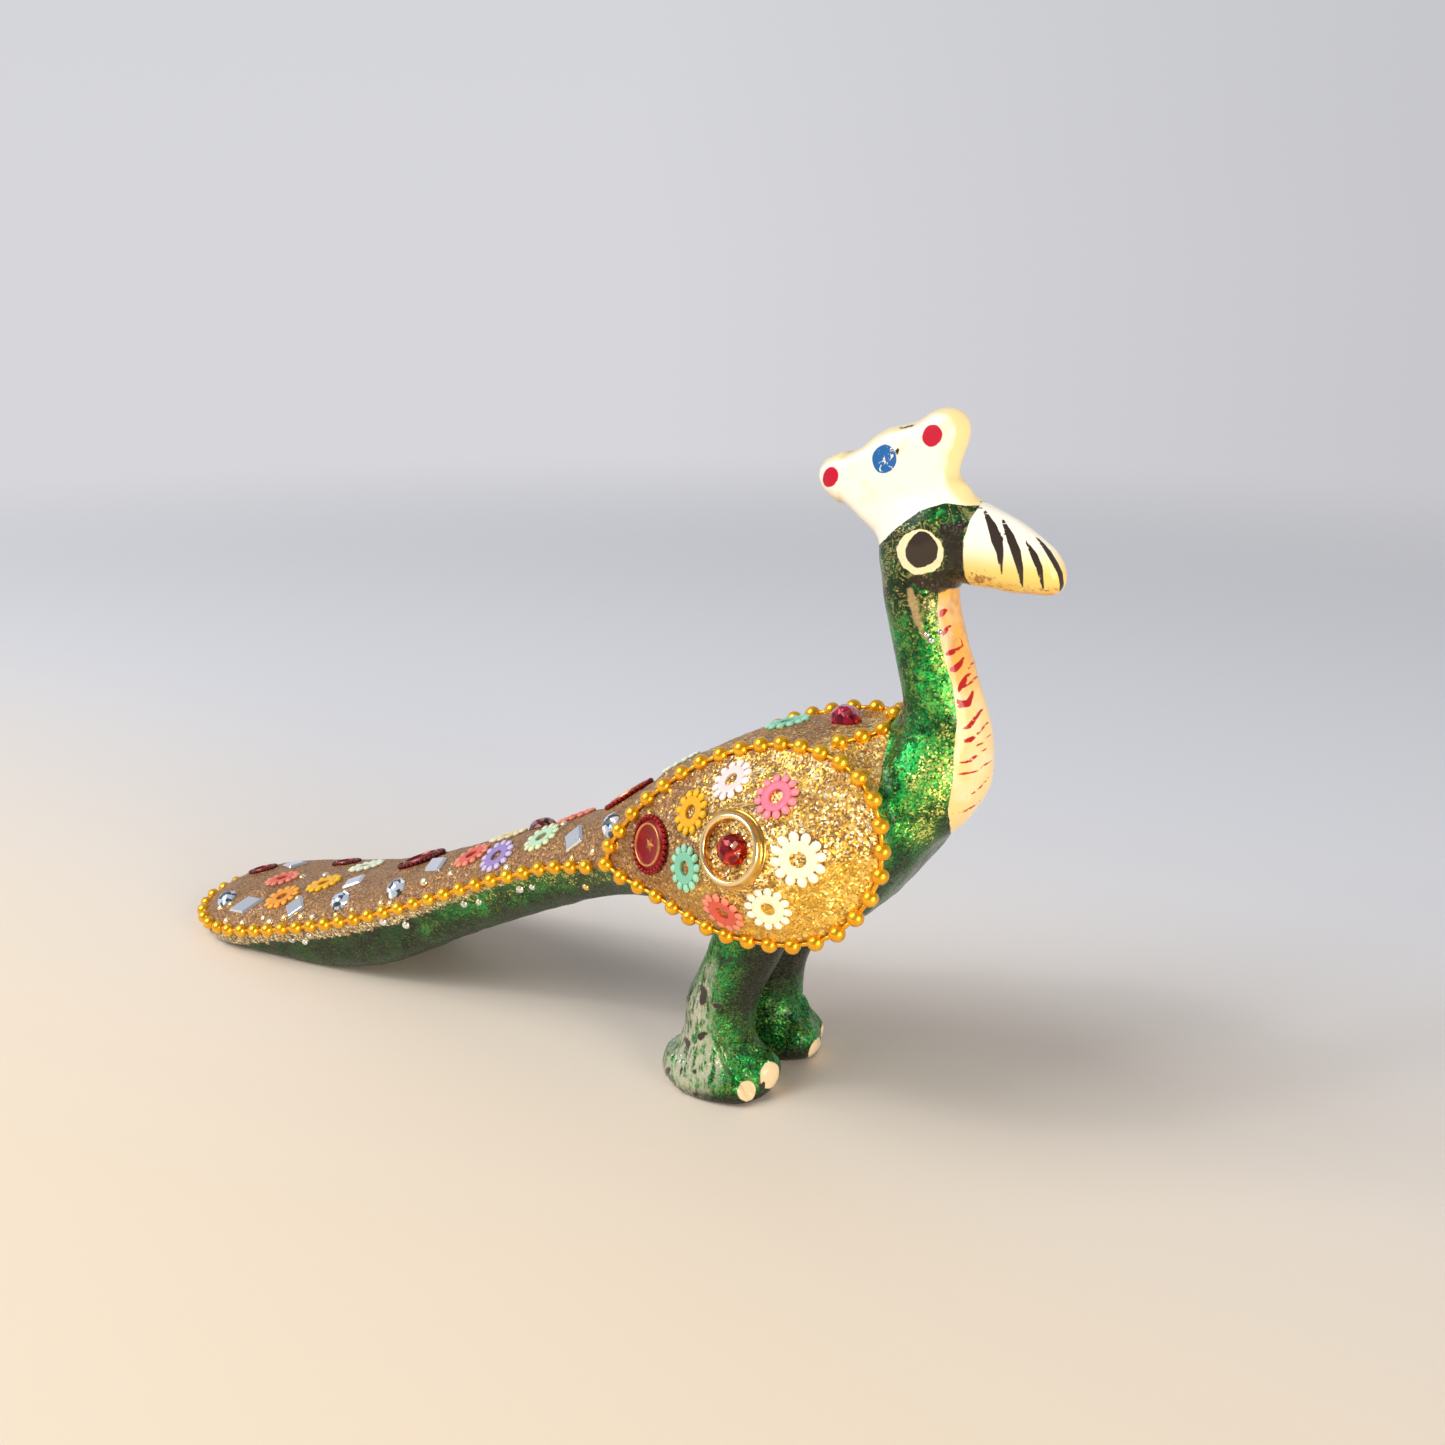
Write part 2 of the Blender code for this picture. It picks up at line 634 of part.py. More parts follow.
def make_trim_piece(name, kind, colour, collection):
    """One sequin, stone, ring or mirror, lying on the XY plane, and its radius."""
    roughness, metallic = 0.35, 0.0
    if kind == "ring":
        piece, radius = add_ring(name, collection), RING_OUTER_DIAMETER / 2
        roughness, metallic = 0.2, 1.0
    elif kind.endswith("cup"):
        diameter = SMALL_CUP_SEQUIN_DIAMETER if kind == "small_cup" else CUP_SEQUIN_DIAMETER
        piece, radius = add_cup(name, diameter, collection), diameter / 2
    elif kind == "stone":
        piece, radius = add_cut_stone(name, STONE_DIAMETER, STONE_HEIGHT, collection), STONE_DIAMETER / 2
        roughness = 0.08
    elif kind == "rhinestone":
        piece = add_cut_stone(name, RHINESTONE_DIAMETER, RHINESTONE_HEIGHT, collection)
        radius = RHINESTONE_DIAMETER / 2
        roughness, metallic = 0.05, 0.6
    elif kind in ("mirror", "diamond"):
        square = kind == "mirror"
        length = MIRROR_SIDE * math.sqrt(2) if square else DIAMOND_LENGTH
        piece = add_mirror(name, length, length if square else DIAMOND_WIDTH, collection)
        radius = length / 2
        roughness, metallic = 0.04, 1.0
    else:
        diameter = LARGE_FLOWER_DIAMETER if kind == "large_flower" else FLOWER_DIAMETER
        piece, radius = add_object(name, flower_mesh(name, diameter), collection), diameter / 2
    give_material(piece, colour, roughness, metallic)
    return piece, radius


def facing_there(tree, spot, look, radius):
    """The body's point on a line of sight, and the way its surface faces, evened out over a disc."""
    middle = tree.ray_cast(spot, look)[0]
    across = look.orthogonal().normalized()
    along = look.cross(across)
    around = []
    for i in range(12):
        turn = math.tau * i / 12
        shift = (across * math.cos(turn) + along * math.sin(turn)) * radius * 0.8
        hit = tree.ray_cast(spot + shift, look)[0]
        if hit:
            around.append(hit)
    normal = Vector()
    for here, there in zip(around, around[1:] + around[:1]):
        normal += (here - middle).cross(there - middle)
    return middle, normal.normalized() * (-1 if normal.dot(look) > 0 else 1)


def rise_over(tree, middle, normal, radius):
    """How far the body reaches above a tangent plane within a disc."""
    across = normal.orthogonal().normalized()
    along = normal.cross(across)
    rises = []
    for share in (0, 0.25, 0.5, 0.75, 1.0):
        for i in range(24):
            turn = math.tau * i / 24
            start = middle + (across * math.cos(turn) + along * math.sin(turn)) * radius * share
            hit = tree.ray_cast(start + normal * radius, -normal)[0]
            if hit:
                rises.append((hit - middle).dot(normal))
    return max(rises)


def seat(tree, piece, radius, spot, look, turn):
    """Lays a piece flat on the body where a line of sight meets it, SEAT_GAP clear of it."""
    middle, normal = facing_there(tree, spot, look, radius)
    lift = rise_over(tree, middle, normal, radius) + SEAT_GAP
    upright = normal.to_track_quat("Z", "Y").to_matrix().to_4x4()
    spin = Matrix.Rotation(math.radians(turn), 4, "Z")
    piece.matrix_world = Matrix.Translation(middle + normal * lift) @ upright @ spin


def make_trim(tree, collection):
    """All that is stuck on the wings, the back and the tail."""
    far = FIGURE_HEIGHT
    over_back = BACK_SIGHT_HEIGHT * UNIT
    for side, hand in ((1, "right"), (-1, "left")):
        for name, kind, colour, x, z, turn in WING_TRIM:
            piece, radius = make_trim_piece("wing_" + name + "_" + hand, kind, colour, collection)
            spot = Vector((x * UNIT, -side * far, z * UNIT))
            seat(tree, piece, radius, spot, Vector((0, side, 0)), side * turn)
    for name, kind, colour, x, y, turn in BACK_TRIM:
        piece, radius = make_trim_piece(name, kind, colour, collection)
        seat(tree, piece, radius, Vector((x * UNIT, y * UNIT, over_back)), Vector((0, 0, -1)), turn)


def centre_length(collection):
    """Moves everything along X so that the origin is under the middle of the length."""
    bpy.context.view_layer.update()
    depsgraph = bpy.context.evaluated_depsgraph_get()
    reach = []
    for thing in collection.objects:
        mesh = thing.evaluated_get(depsgraph).to_mesh()
        reach += [(thing.matrix_world @ v.co).x for v in mesh.vertices]
    for thing in collection.objects:
        thing.location.x -= (min(reach) + max(reach)) / 2


def main():
    for thing in list(bpy.data.objects):
        bpy.data.objects.remove(thing, do_unlink=True)
    collection = bpy.data.collections.new("peacock_figurine")
    bpy.context.scene.collection.children.link(collection)
    body = make_body(collection)
    give_material(body, BODY_GREEN, 0.35, 0.5)
    tree = body_tree(body)
    make_chains(tree, collection)
    make_trim(tree, collection)
    centre_length(collection)


main()
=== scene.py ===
import json
import math

import bpy
import numpy as np
from mathutils import Matrix, Vector
from mathutils.bvhtree import BVHTree
from mathutils.kdtree import KDTree


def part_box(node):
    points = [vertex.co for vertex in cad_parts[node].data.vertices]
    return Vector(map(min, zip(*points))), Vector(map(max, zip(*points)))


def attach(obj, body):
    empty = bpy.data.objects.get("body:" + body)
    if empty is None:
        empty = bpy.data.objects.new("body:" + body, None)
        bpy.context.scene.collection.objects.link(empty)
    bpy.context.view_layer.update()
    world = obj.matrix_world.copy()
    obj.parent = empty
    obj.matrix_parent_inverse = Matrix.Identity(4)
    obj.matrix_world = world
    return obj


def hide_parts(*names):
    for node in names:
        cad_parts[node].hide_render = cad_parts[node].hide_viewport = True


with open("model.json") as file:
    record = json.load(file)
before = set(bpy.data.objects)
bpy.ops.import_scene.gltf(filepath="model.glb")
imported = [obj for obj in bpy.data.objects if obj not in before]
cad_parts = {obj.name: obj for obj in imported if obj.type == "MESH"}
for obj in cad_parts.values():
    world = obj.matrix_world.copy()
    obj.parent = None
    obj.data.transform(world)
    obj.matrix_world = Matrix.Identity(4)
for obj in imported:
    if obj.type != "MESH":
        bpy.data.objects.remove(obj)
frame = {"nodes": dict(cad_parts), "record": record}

nodes = frame["nodes"]
slots = {part["node"]: part["material_slot"] for part in frame["record"]["subparts"]}
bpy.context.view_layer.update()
scene = bpy.context.scene
MM = 0.001

# The view of the photograph. The camera stands low in front of the bird's right side, and what is painted
# or stuck on the bird is placed where that view shows it. The bird's own zero is between its feet.
BEAK_FROM_FEET = 37.986 * MM
FEET_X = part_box("peacock_body")[1].x - BEAK_FROM_FEET
PHOTO_SIDE = 1445
MIDDLE_PX = PHOTO_SIDE / 2
FOCAL_PX = 1549
EYE_POINT = np.array([FEET_X + 0.0940, -0.1517, 0.1006])
AZIMUTH = math.radians(33)
ELEVATION = math.radians(17)
SENSOR_MM = 36

view_right = np.array([math.cos(AZIMUTH), math.sin(AZIMUTH), 0])
view_back = np.array([math.sin(AZIMUTH), -math.cos(AZIMUTH), 0]) * math.cos(ELEVATION)
view_back[2] = math.sin(ELEVATION)
view_up = np.cross(view_back, view_right)


def seen_at(points):
    """Where points show in the photograph: pixels across and down."""
    away = np.asarray(points) - EYE_POINT
    depth = -away @ view_back
    return MIDDLE_PX + away @ view_right / depth * FOCAL_PX, MIDDLE_PX - away @ view_up / depth * FOCAL_PX


def seen_mirrored(points):
    """Where points would show if the far side were turned over to the near one."""
    mirrored = points.copy()
    mirrored[:, 1] = -np.abs(mirrored[:, 1])
    return seen_at(mirrored)


def sight_line(across, down):
    """The way that one looks through a pixel of the photograph."""
    way = view_right * (across - MIDDLE_PX) + view_up * (MIDDLE_PX - down) - view_back * FOCAL_PX
    return Vector(way).normalized()


camera_data = bpy.data.cameras.new("camera")
camera_data.lens = FOCAL_PX / PHOTO_SIDE * SENSOR_MM
camera_data.sensor_width = SENSOR_MM
camera_data.clip_start = 5 * MM
camera_data.clip_end = 20
camera = bpy.data.objects.new("camera", camera_data)
scene.collection.objects.link(camera)
camera.location = EYE_POINT
camera.rotation_euler = (math.pi / 2 - ELEVATION, 0, AZIMUTH)
scene.camera = camera


# The cast body: one piece of lac resin, its green glitter paint brushed on, with gold glitter paste spread
# over wings, back and tail, thick round whatever is pressed into it. Glue shows in a band under the tail's
# beads. The skin is shaped in millimetres from the feet: x towards the beak, y to the far side and z up.
VOXEL = 0.41 * MM
MERGE_WITHIN = 0.001 * MM
PASTE_THICKNESS = 0.32
GLUE_THICKNESS = 0.16
LUMP_HEIGHT = 0.1
GRAIN_HEIGHT = 0.035
TIP_FULLNESS = 1.0
NOTCH_DEPTH = 0.75
KNOB_HEIGHT = 0.5
GLUE_HALF_WIDTH = 0.3
GLUE_OVER_CHAIN = 1.2
PANEL_SWELL = 0.9
BACK_BELOW_CHAIN = 3
TRUNK_HALF_WIDTH = 5.5
BREAST_X = 12
TAIL_X = -13
HEAD_Z = 62
PX_PER_MM = 9.1
OUTSIDE = -9.0
TINY = 1e-9
BEAD_RADIUS = 1.0 * MM
BEAD_PITCH = 2.9 * MM
BEAD_RIM_CORNERS = 6
EDGE_TOLERANCE = 0.008
SAME_WAY = 0.9995
SOLE_DEPTH = 0.05 * MM
CHAINS = ("wing_bead_chain_right", "wing_bead_chain_left", "tail_bead_chain", "neck_bead_chain")


def only(thing):
    """Makes one object the selected and active one."""
    for other in bpy.context.selected_objects:
        other.select_set(False)
    thing.select_set(True)
    bpy.context.view_layer.objects.active = thing


def in_edit_mode(thing):
    only(thing)
    bpy.ops.object.mode_set(mode="EDIT")
    bpy.ops.mesh.select_all(action="SELECT")


def in_object_mode():
    bpy.ops.object.mode_set(mode="OBJECT")


def apply_modifiers(thing):
    only(thing)
    for modifier in list(thing.modifiers):
        bpy.ops.object.modifier_apply(modifier=modifier.name)


def own_copy(name, mesh):
    """A new object with a copy of a mesh."""
    copy = bpy.data.objects.new(name, mesh.copy())
    scene.collection.objects.link(copy)
    return copy


def rows_of(items, field):
    """A vector of each of a mesh's points, as rows."""
    flat = np.empty(len(items) * 3, np.float32)
    items.foreach_get(field, flat)
    return flat.reshape(-1, 3).astype(float)


def points_of(mesh):
    return rows_of(mesh.vertices, "co")


def normals_of(mesh):
    return rows_of(mesh.vertex_normals, "vector")


def set_points(mesh, points):
    mesh.vertices.foreach_set("co", np.asarray(points, np.float32).ravel())
    mesh.update()


def lay_on(mesh, name, values):
    """Keeps one number for each point of a mesh, for its material to read."""
    layer = mesh.attributes.new(name, "FLOAT", "POINT")
    layer.data.foreach_set("value", np.asarray(values, np.float32))


def skin_of(mesh):
    return BVHTree.FromPolygons([v.co for v in mesh.vertices], [p.vertices for p in mesh.polygons])


def tree_of(points):
    """A tree that finds the nearest of some points."""
    tree = KDTree(len(points))
    for i, point in enumerate(points):
        tree.insert(point, i)
    tree.balance()
    return tree


def soft_step(low, high, values):
    """From 0 to 1 between two values, or the other way round where low is the higher."""
    share = np.clip((values - low) / (high - low), 0, 1)
    return share * share * (3 - 2 * share)


def bead_middles(node):
    """The middle of each bead, in order: the solid is widest in a hexagon whose sides are a bead's radius."""
    corners, merged = np.unique(points_of(node.data).round(6), axis=0, return_inverse=True)
    merged = merged.ravel()
    sides = {}
    for face in node.data.polygons:
        for a, b in face.edge_keys:
            a, b = int(merged[a]), int(merged[b])
            if abs(np.linalg.norm(corners[a] - corners[b]) / BEAD_RADIUS - 1) < EDGE_TOLERANCE:
                sides.setdefault(a, set()).add(b)
                sides.setdefault(b, set()).add(a)
    middles = []
    while sides:
        group, rim = set(), [next(iter(sides))]
        while rim:
            corner = rim.pop()
            if corner not in group:
                group.add(corner)
                rim += sides.pop(corner)
        if len(group) == BEAD_RIM_CORNERS:
            middles.append(corners[sorted(group)].mean(0))
    middles = np.array(middles)
    apart = np.linalg.norm(middles[:, None] - middles[None], axis=2)
    neighbours = (apart < 1.12 * BEAD_PITCH).sum(1)
    order = [int(np.argmin(neighbours))]
    left = set(range(len(middles))) - set(order)
    while left:
        nearest = min(left, key=lambda i: apart[order[-1], i])
        order.append(nearest)
        left.remove(nearest)
    return middles[order]


def links_of(middles):
    """The pairs of beads that lie side by side, in a closed chain also the last and the first."""
    pairs = zip(middles, np.roll(middles, -1, axis=0))
    return [(start, end) for start, end in pairs if np.linalg.norm(end - start) < 1.3 * BEAD_PITCH]


def seat_of(name):
    """Where a stuck-on piece lies: its underside's middle, its up, a corner's way, and its radius."""
    mesh = nodes[name].data
    normals = np.array([face.normal for face in mesh.polygons])
    areas = np.array([face.area for face in mesh.polygons])
    alike = (normals @ normals.T > SAME_WAY) @ areas
    up = Vector(normals[np.argmax(alike)]).normalized()
    points = points_of(mesh)
    middle = Vector(points.mean(0))
    foot = cad_skin.find_nearest(middle)[0]
    if up.dot(middle - foot) < 0:
        up = -up
    heights = points @ np.array(up)
    underside = points[heights < heights.min() + SOLE_DEPTH]
    middle = Vector(np.unique(underside.round(6), axis=0).mean(0))
    reach = np.linalg.norm(underside - np.array(middle), axis=1)
    corner = Vector(underside[np.argmax(reach)]) - middle
    along = (corner - up * corner.dot(up)).normalized()
    turned = Matrix((along, up.cross(along), up)).transposed().to_4x4()
    return Matrix.Translation(middle) @ turned, float(reach.max())


cad_skin = skin_of(nodes["peacock_body"].data)
beads_of = {name: bead_middles(nodes[name]) for name in CHAINS}
cast = own_copy("cast_body", nodes["peacock_body"].data)
in_edit_mode(cast)
bpy.ops.mesh.remove_doubles(threshold=MERGE_WITHIN)
in_object_mode()
rounding = cast.modifiers.new("rounding", "SUBSURF")
rounding.levels = rounding.render_levels = 2
melting = cast.modifiers.new("melting", "REMESH")
melting.mode = "VOXEL"
melting.voxel_size = VOXEL
softening = cast.modifiers.new("softening", "SMOOTH")
softening.factor = 0.5
softening.iterations = 10
apply_modifiers(cast)

skin = points_of(cast.data)
facing = normals_of(cast.data)
edges = np.empty(len(cast.data.edges) * 2, np.int32)
cast.data.edges.foreach_get("vertices", edges)
edges = edges.reshape(-1, 2)
edge_count = np.bincount(edges.ravel(), minlength=len(skin))


def even_out(values, rounds):
    """Averages a number over neighbouring points of the cast, round after round."""
    for _ in range(rounds):
        total = np.bincount(edges[:, 0], values[edges[:, 1]], len(values))
        total += np.bincount(edges[:, 1], values[edges[:, 0]], len(values))
        values = 0.5 * values + 0.5 * total / edge_count
    return values


def way_to_solid(point, out):
    """How far the CAD solid's skin lies outside a point."""
    return (cad_skin.find_nearest(Vector(point))[0] - Vector(point)).dot(Vector(out))


# Melting and softening draw the skin in. It goes back out to the solid's mean surface.
drawn_in = np.array([way_to_solid(point, out) for point, out in zip(skin, facing)])
skin = skin + facing * even_out(drawn_in, rounds=30)[:, None]

# The chains lie in glue and resin that comes up to them from the skin.
CHAIN_SEAT = 0.72 * BEAD_RADIUS
FILL_FROM = 2.4 * MM
FILL_TO = 3.6 * MM
strand = []
for middles in beads_of.values():
    for start, end in links_of(middles):
        strand += [start + (end - start) * share for share in (0, 0.25, 0.5, 0.75)]
strand_tree = tree_of(strand)
to_strand = np.array([strand_tree.find(point)[0] for point in skin]) - skin
reach = np.linalg.norm(to_strand, axis=1)
toward = to_strand / reach[:, None]
pull = np.clip(reach - CHAIN_SEAT, 0, FILL_TO) * (1 - soft_step(FILL_FROM, FILL_TO, reach))
pull *= soft_step(0.2, 0.75, (toward * facing).sum(1))
skin = skin + toward * even_out(pull, rounds=3)[:, None]
set_points(cast.data, skin)
facing = normals_of(cast.data)


def in_bird_mm(points):
    return (points - (FEET_X, 0, 0)) / MM


x, y, z = in_bird_mm(skin).T
side = np.abs(y)


def nearest_on(start, end, across, down):
    """Where along a line it comes closest to each point, as a share, and how far off that is."""
    run = end - start
    share = ((across - start[0]) * run[0] + (down - start[1]) * run[1]) / max(run @ run, TINY)
    share = np.clip(share, 0, 1)
    return share, np.hypot(across - start[0] - share * run[0], down - start[1] - share * run[1])


def to_loop(across, down, loop):
    """Distance to a closed line of points, positive inside it."""
    inside = np.zeros(len(across), bool)
    nearest = np.full(len(across), np.inf)
    for start, end in zip(loop, np.roll(loop, -1, axis=0)):
        nearest = np.minimum(nearest, nearest_on(start, end, across, down)[1])
        drop = end[1] - start[1] or TINY
        cut = (end[0] - start[0]) * (down - start[1]) / drop + start[0]
        inside ^= ((start[1] > down) != (end[1] > down)) & (across < cut)
    return np.where(inside, nearest, -nearest)


def inside_wing(loop):
    """Distance into a wing's panel, which swells out from its chain."""
    rim = tree_of([(across, 0, up) for across, _, up in loop])
    near = [rim.find((across, 0, up))[1] for across, up in zip(x, z)]
    outward = side - np.abs(loop[near, 1]) + PANEL_SWELL
    return np.where(side > TRUNK_HALF_WIDTH, np.minimum(to_loop(x, z, loop[:, [0, 2]]), outward), OUTSIDE)


def height_over(beads):
    """How far the skin lies above a row of beads, seen from the side."""
    row = beads[np.argsort(beads[:, 0])]
    return z - np.interp(x, row[:, 0], row[:, 2])


near_wing = in_bird_mm(beads_of["wing_bead_chain_right"])
far_wing = in_bird_mm(beads_of["wing_bead_chain_left"])
tail_beads = in_bird_mm(beads_of["tail_bead_chain"])
in_wing = np.where(y < 0, inside_wing(near_wing), inside_wing(far_wing))
over_tail = height_over(tail_beads[tail_beads[:, 1] < 0.1])
in_upper_row = near_wing[:, 2] > np.interp(near_wing[:, 0], [-14, 23.6], [29, 38])
over_back = height_over(near_wing[in_upper_row]) + BACK_BELOW_CHAIN
neck_foot = np.minimum(np.minimum(18.9 + 0.27 * side - x, z - 41), 51.2 - z)
over_back = np.where(x > BREAST_X, np.minimum(over_back, neck_foot), over_back)
paste = np.maximum(in_wing, np.where(x < TAIL_X - 2, over_tail, over_back))
glue_drop = np.interp(x, [-66, -50, -42, -30, -20], [2.4, 2.2, 1.7, 0.9, 0.0])
under_chain = np.minimum(over_tail + glue_drop, GLUE_OVER_CHAIN - over_tail)
glue = np.where(x < TAIL_X, under_chain, GLUE_HALF_WIDTH - np.abs(in_wing))


def blot(across, down, middle, radii, turn=0.0):
    """Distance into an oval, in millimetres."""
    lean = math.radians(turn)
    a = ((across - middle[0]) * math.cos(lean) + (down - middle[1]) * math.sin(lean)) / radii[0]
    b = ((down - middle[1]) * math.cos(lean) - (across - middle[0]) * math.sin(lean)) / radii[1]
    return (1 - np.hypot(a, b)) * min(radii) / PX_PER_MM


def stroke(across, down, *line):
    """Distance into a brush stroke through points of (across, down, half width), in millimetres."""
    best = np.full(len(across), OUTSIDE)
    line = np.array(line)
    for start, end in zip(line, line[1:]):
        share, off = nearest_on(start[:2], end[:2], across, down)
        best = np.maximum(best, (start[2] + share * (end[2] - start[2]) - off) / PX_PER_MM)
    return best


def furthest_in(shape, across, down, marks):
    """Distance into whichever of several blots or strokes a point is furthest in."""
    return np.max([shape(across, down, *mark) for mark in marks], axis=0)


# Folds of the feet: between the toes, over the instep, and where the heel stands out behind.
FOLDS = [
    ([(722, 1048, 2), (730, 1064, 4), (738, 1079, 4), (748, 1086, 3), (754, 1102, 3)], 0.9),
    ([(733, 1046, 2), (748, 1048, 4), (764, 1053, 2)], 0.6),
]
CREST_KNOB = ((967, 485), (15, 9), 30)
u, v = seen_mirrored(skin)
folds = sum(depth * soft_step(-0.6, 0.3, stroke(u, v, *line)) for line, depth in FOLDS)
folds = folds * ((z < 12) & (x > -4) & (side > 4))
notch = soft_step(4.2, 5.2, z) * soft_step(12.0, 6.5, z) * soft_step(0.1, -0.6, facing[:, 0])
notch = notch * ((x < 1) & (x > -9))
tip = soft_step(-76, -86, x) * soft_step(0.1, -0.6, facing[:, 2])
knob = soft_step(-0.4, 0.9, blot(u, v, *CREST_KNOB)) * (z > HEAD_Z)
lumps = np.sin(x * 0.9 + 1.1 * np.sin(z * 0.7)) * np.sin(z * 0.8 + 0.8 * y) * np.cos(y * 0.9 + 0.5 * x)
grain = np.random.default_rng(7).normal(0, 1, len(skin))

rise = PASTE_THICKNESS * soft_step(-0.35, 0.5, paste)
rise += GLUE_THICKNESS * soft_step(-0.3, 0.4, glue) * (paste < 0.3)
rise += TIP_FULLNESS * tip - NOTCH_DEPTH * notch - folds + KNOB_HEIGHT * knob
rise += LUMP_HEIGHT * lumps * (1 - 0.6 * soft_step(-0.3, 0.3, paste))
rise += GRAIN_HEIGHT * grain * soft_step(-0.2, 0.4, paste)
off_floor = soft_step(0.1, 1.6, z)
skin = skin + facing * (rise * off_floor * MM)[:, None]

# The paste comes up to the underside of each piece that is pressed into it.
SEAT_REACH = 2.6 * MM
SEAT_HEIGHT = 0.10 * MM
SEAT_GRAIN = 0.03 * MM
for name in nodes:
    if "chain" in name or name == "peacock_body":
        continue
    place, radius = seat_of(name)
    middle, up = np.array(place.translation), np.array(place.col[2][:3])
    height = (skin - middle) @ up
    across = np.linalg.norm(skin - middle - height[:, None] * up, axis=1)
    close = (np.abs(height) < SEAT_REACH) & (facing @ up > 0.2) & (across < radius + 1.1 * MM)
    hold = 1 - soft_step(radius - 0.1 * MM, radius + 1.0 * MM, across[close])
    wanted = SEAT_HEIGHT + SEAT_GRAIN * grain[close]
    skin[close] += ((wanted - height[close]) * hold)[:, None] * up
skin[:, 2] = np.maximum(skin[:, 2], 0)
set_points(cast.data, skin)
cast.data.shade_smooth()

# What is painted, measured in the photograph's view. Both sides are painted alike, so the near side's view is
# used for both, but for the stripe on the beak's ridge, the throat's strokes and the far foot's nails.
CREST_EDGE = [(860, 549), (879, 545), (897.5, 527), (920.5, 510), (945, 503), (968, 506), (979.5, 505.5)]
BEAK_EDGE = [
    (984, 495), (980, 505.5), (971, 518), (963, 541), (963, 564), (965, 577), (972.5, 588), (979, 600),
]
THROAT_EDGE = [
    (939, 585), (937, 612), (940, 639), (946, 664), (953, 687), (957, 723), (954.6, 750), (953, 776),
    (948, 809), (951, 834),
]
THROAT_TOP, THROAT_FOOT = 588, 836
RING = ((920.2, 552), (23.5, 22.5), 10)
PUPIL = ((921.7, 550), (15.8, 18), 15)
RED_DOTS = [((830.5, 477), (7.6, 10.5), 15), ((932.2, 435.7), (9.8, 11.5), 18)]
BLUE_DOT = ((884.4, 459), (12.2, 14.4), 8)
BEAK_STRIPES = [
    [(984.5, 511, 1.4), (992, 526, 4.4), (997, 540, 5.8), (1000, 553, 3.6), (1001, 574, 1.2)],
    [(1002, 519, 1.2), (1010.5, 537, 4.2), (1016, 552, 4.8), (1020, 568, 3.4), (1022, 587, 1.2)],
    [(1026, 541, 1.0), (1034.5, 556, 3.4), (1039.5, 568, 3.4), (1043, 588, 1.2)],
]
RIDGE_STRIPE = [
    (1036, 537, 0.8), (1043, 545, 1.8), (1049, 553, 2.7), (1055, 563, 2.8), (1060.5, 574, 2.5),
    (1062, 585, 2.2), (1060, 591, 0.8),
]
THROAT_STROKES = [
    [(938.5, 618, 1.4), (942, 613, 3.4), (947, 609, 1.4)],
    [(943.5, 635, 1.2), (946, 630, 2.4), (951, 625, 1.0)],
    [(946, 654.5, 1.6), (951, 652.5, 3.0), (956, 650, 2.0), (963, 646, 0.9)],
    [(959, 637, 0.5), (962, 642, 0.9), (964, 648, 0.5)],
    [(949.5, 670, 1.6), (955, 669, 3.4), (960, 664, 2.6), (964, 657, 0.9)],
    [(968, 669, 0.7), (972, 664, 1.2), (976, 660, 0.6)],
    [(958.5, 691, 1.6), (962, 684, 3.0), (966, 677, 2.0), (972, 671, 0.8)],
    [(965, 687, 0.6), (971, 682, 1.5), (979, 675, 0.7)],
    [(955, 700, 1.8), (960, 704.5, 3.6), (968, 703.5, 3.4), (971.5, 696, 2.0), (973, 690, 0.8)],
    [(963.5, 729, 1.2), (970, 726, 2.3), (976, 717, 2.0), (984, 707, 0.8)],
    [(963.5, 741.5, 1.6), (970, 740, 2.5), (976, 736, 1.5), (988, 722, 0.7)],
    [(973, 748, 0.6), (982, 743, 1.2), (991, 734, 0.6)],
    [(959.5, 763, 0.8), (966, 762, 1.2), (971, 760, 2.0), (976, 756, 1.1), (991, 745, 0.6)],
    [(957, 774, 0.6), (966, 773.5, 1.2), (976, 771, 1.1), (992, 760, 0.6)],
    [(967, 797, 0.5), (974, 792.5, 1.2), (980, 788, 0.9), (989, 777, 0.5)],
    [(951, 814, 0.5), (964, 811.5, 0.9), (974, 806, 0.7), (981, 800, 0.4)],
]
EAR_STREAK = [(910, 591, 3.5), (914.5, 609, 4.2), (922, 632, 2.6), (928, 642, 1.0)]
NEAR_NAILS = [((769.5, 1075), (9.6, 13.6), 12), ((746.8, 1091), (9.2, 10.4), 8)]
FAR_NAILS = [((815.4, 1048.4), (5, 12), 25), ((826, 1030), (5, 11), 10)]
DARK_PATCH = np.array([
    (940, 524), (966, 521), (963, 537), (963, 558), (965, 577), (961, 586), (940, 593), (915, 588),
    (906, 579), (917, 575), (927, 576), (944, 569), (946, 553), (940, 537),
])
BEAK_GRIME = ((979, 579), (12, 6))
# Ovals of painted warm light on the wing's paste.
PAINTED_WARM_LIGHT_FRONT = ((822, 910), (118, 52), -22)
PAINTED_WARM_LIGHT_REAR = ((700, 900), (66, 42), 25)
WORN_HEEL = ((690, 1063), (34, 30))
WORN_SHANK = [(708, 968, 4), (698, 1000, 12), (692, 1035, 20), (690, 1060, 28)]
DUSTED_NECK = [(932, 612, 8), (942, 650, 7), (949, 700, 5), (945, 750, 11), (934, 790, 26), (920, 830, 14)]
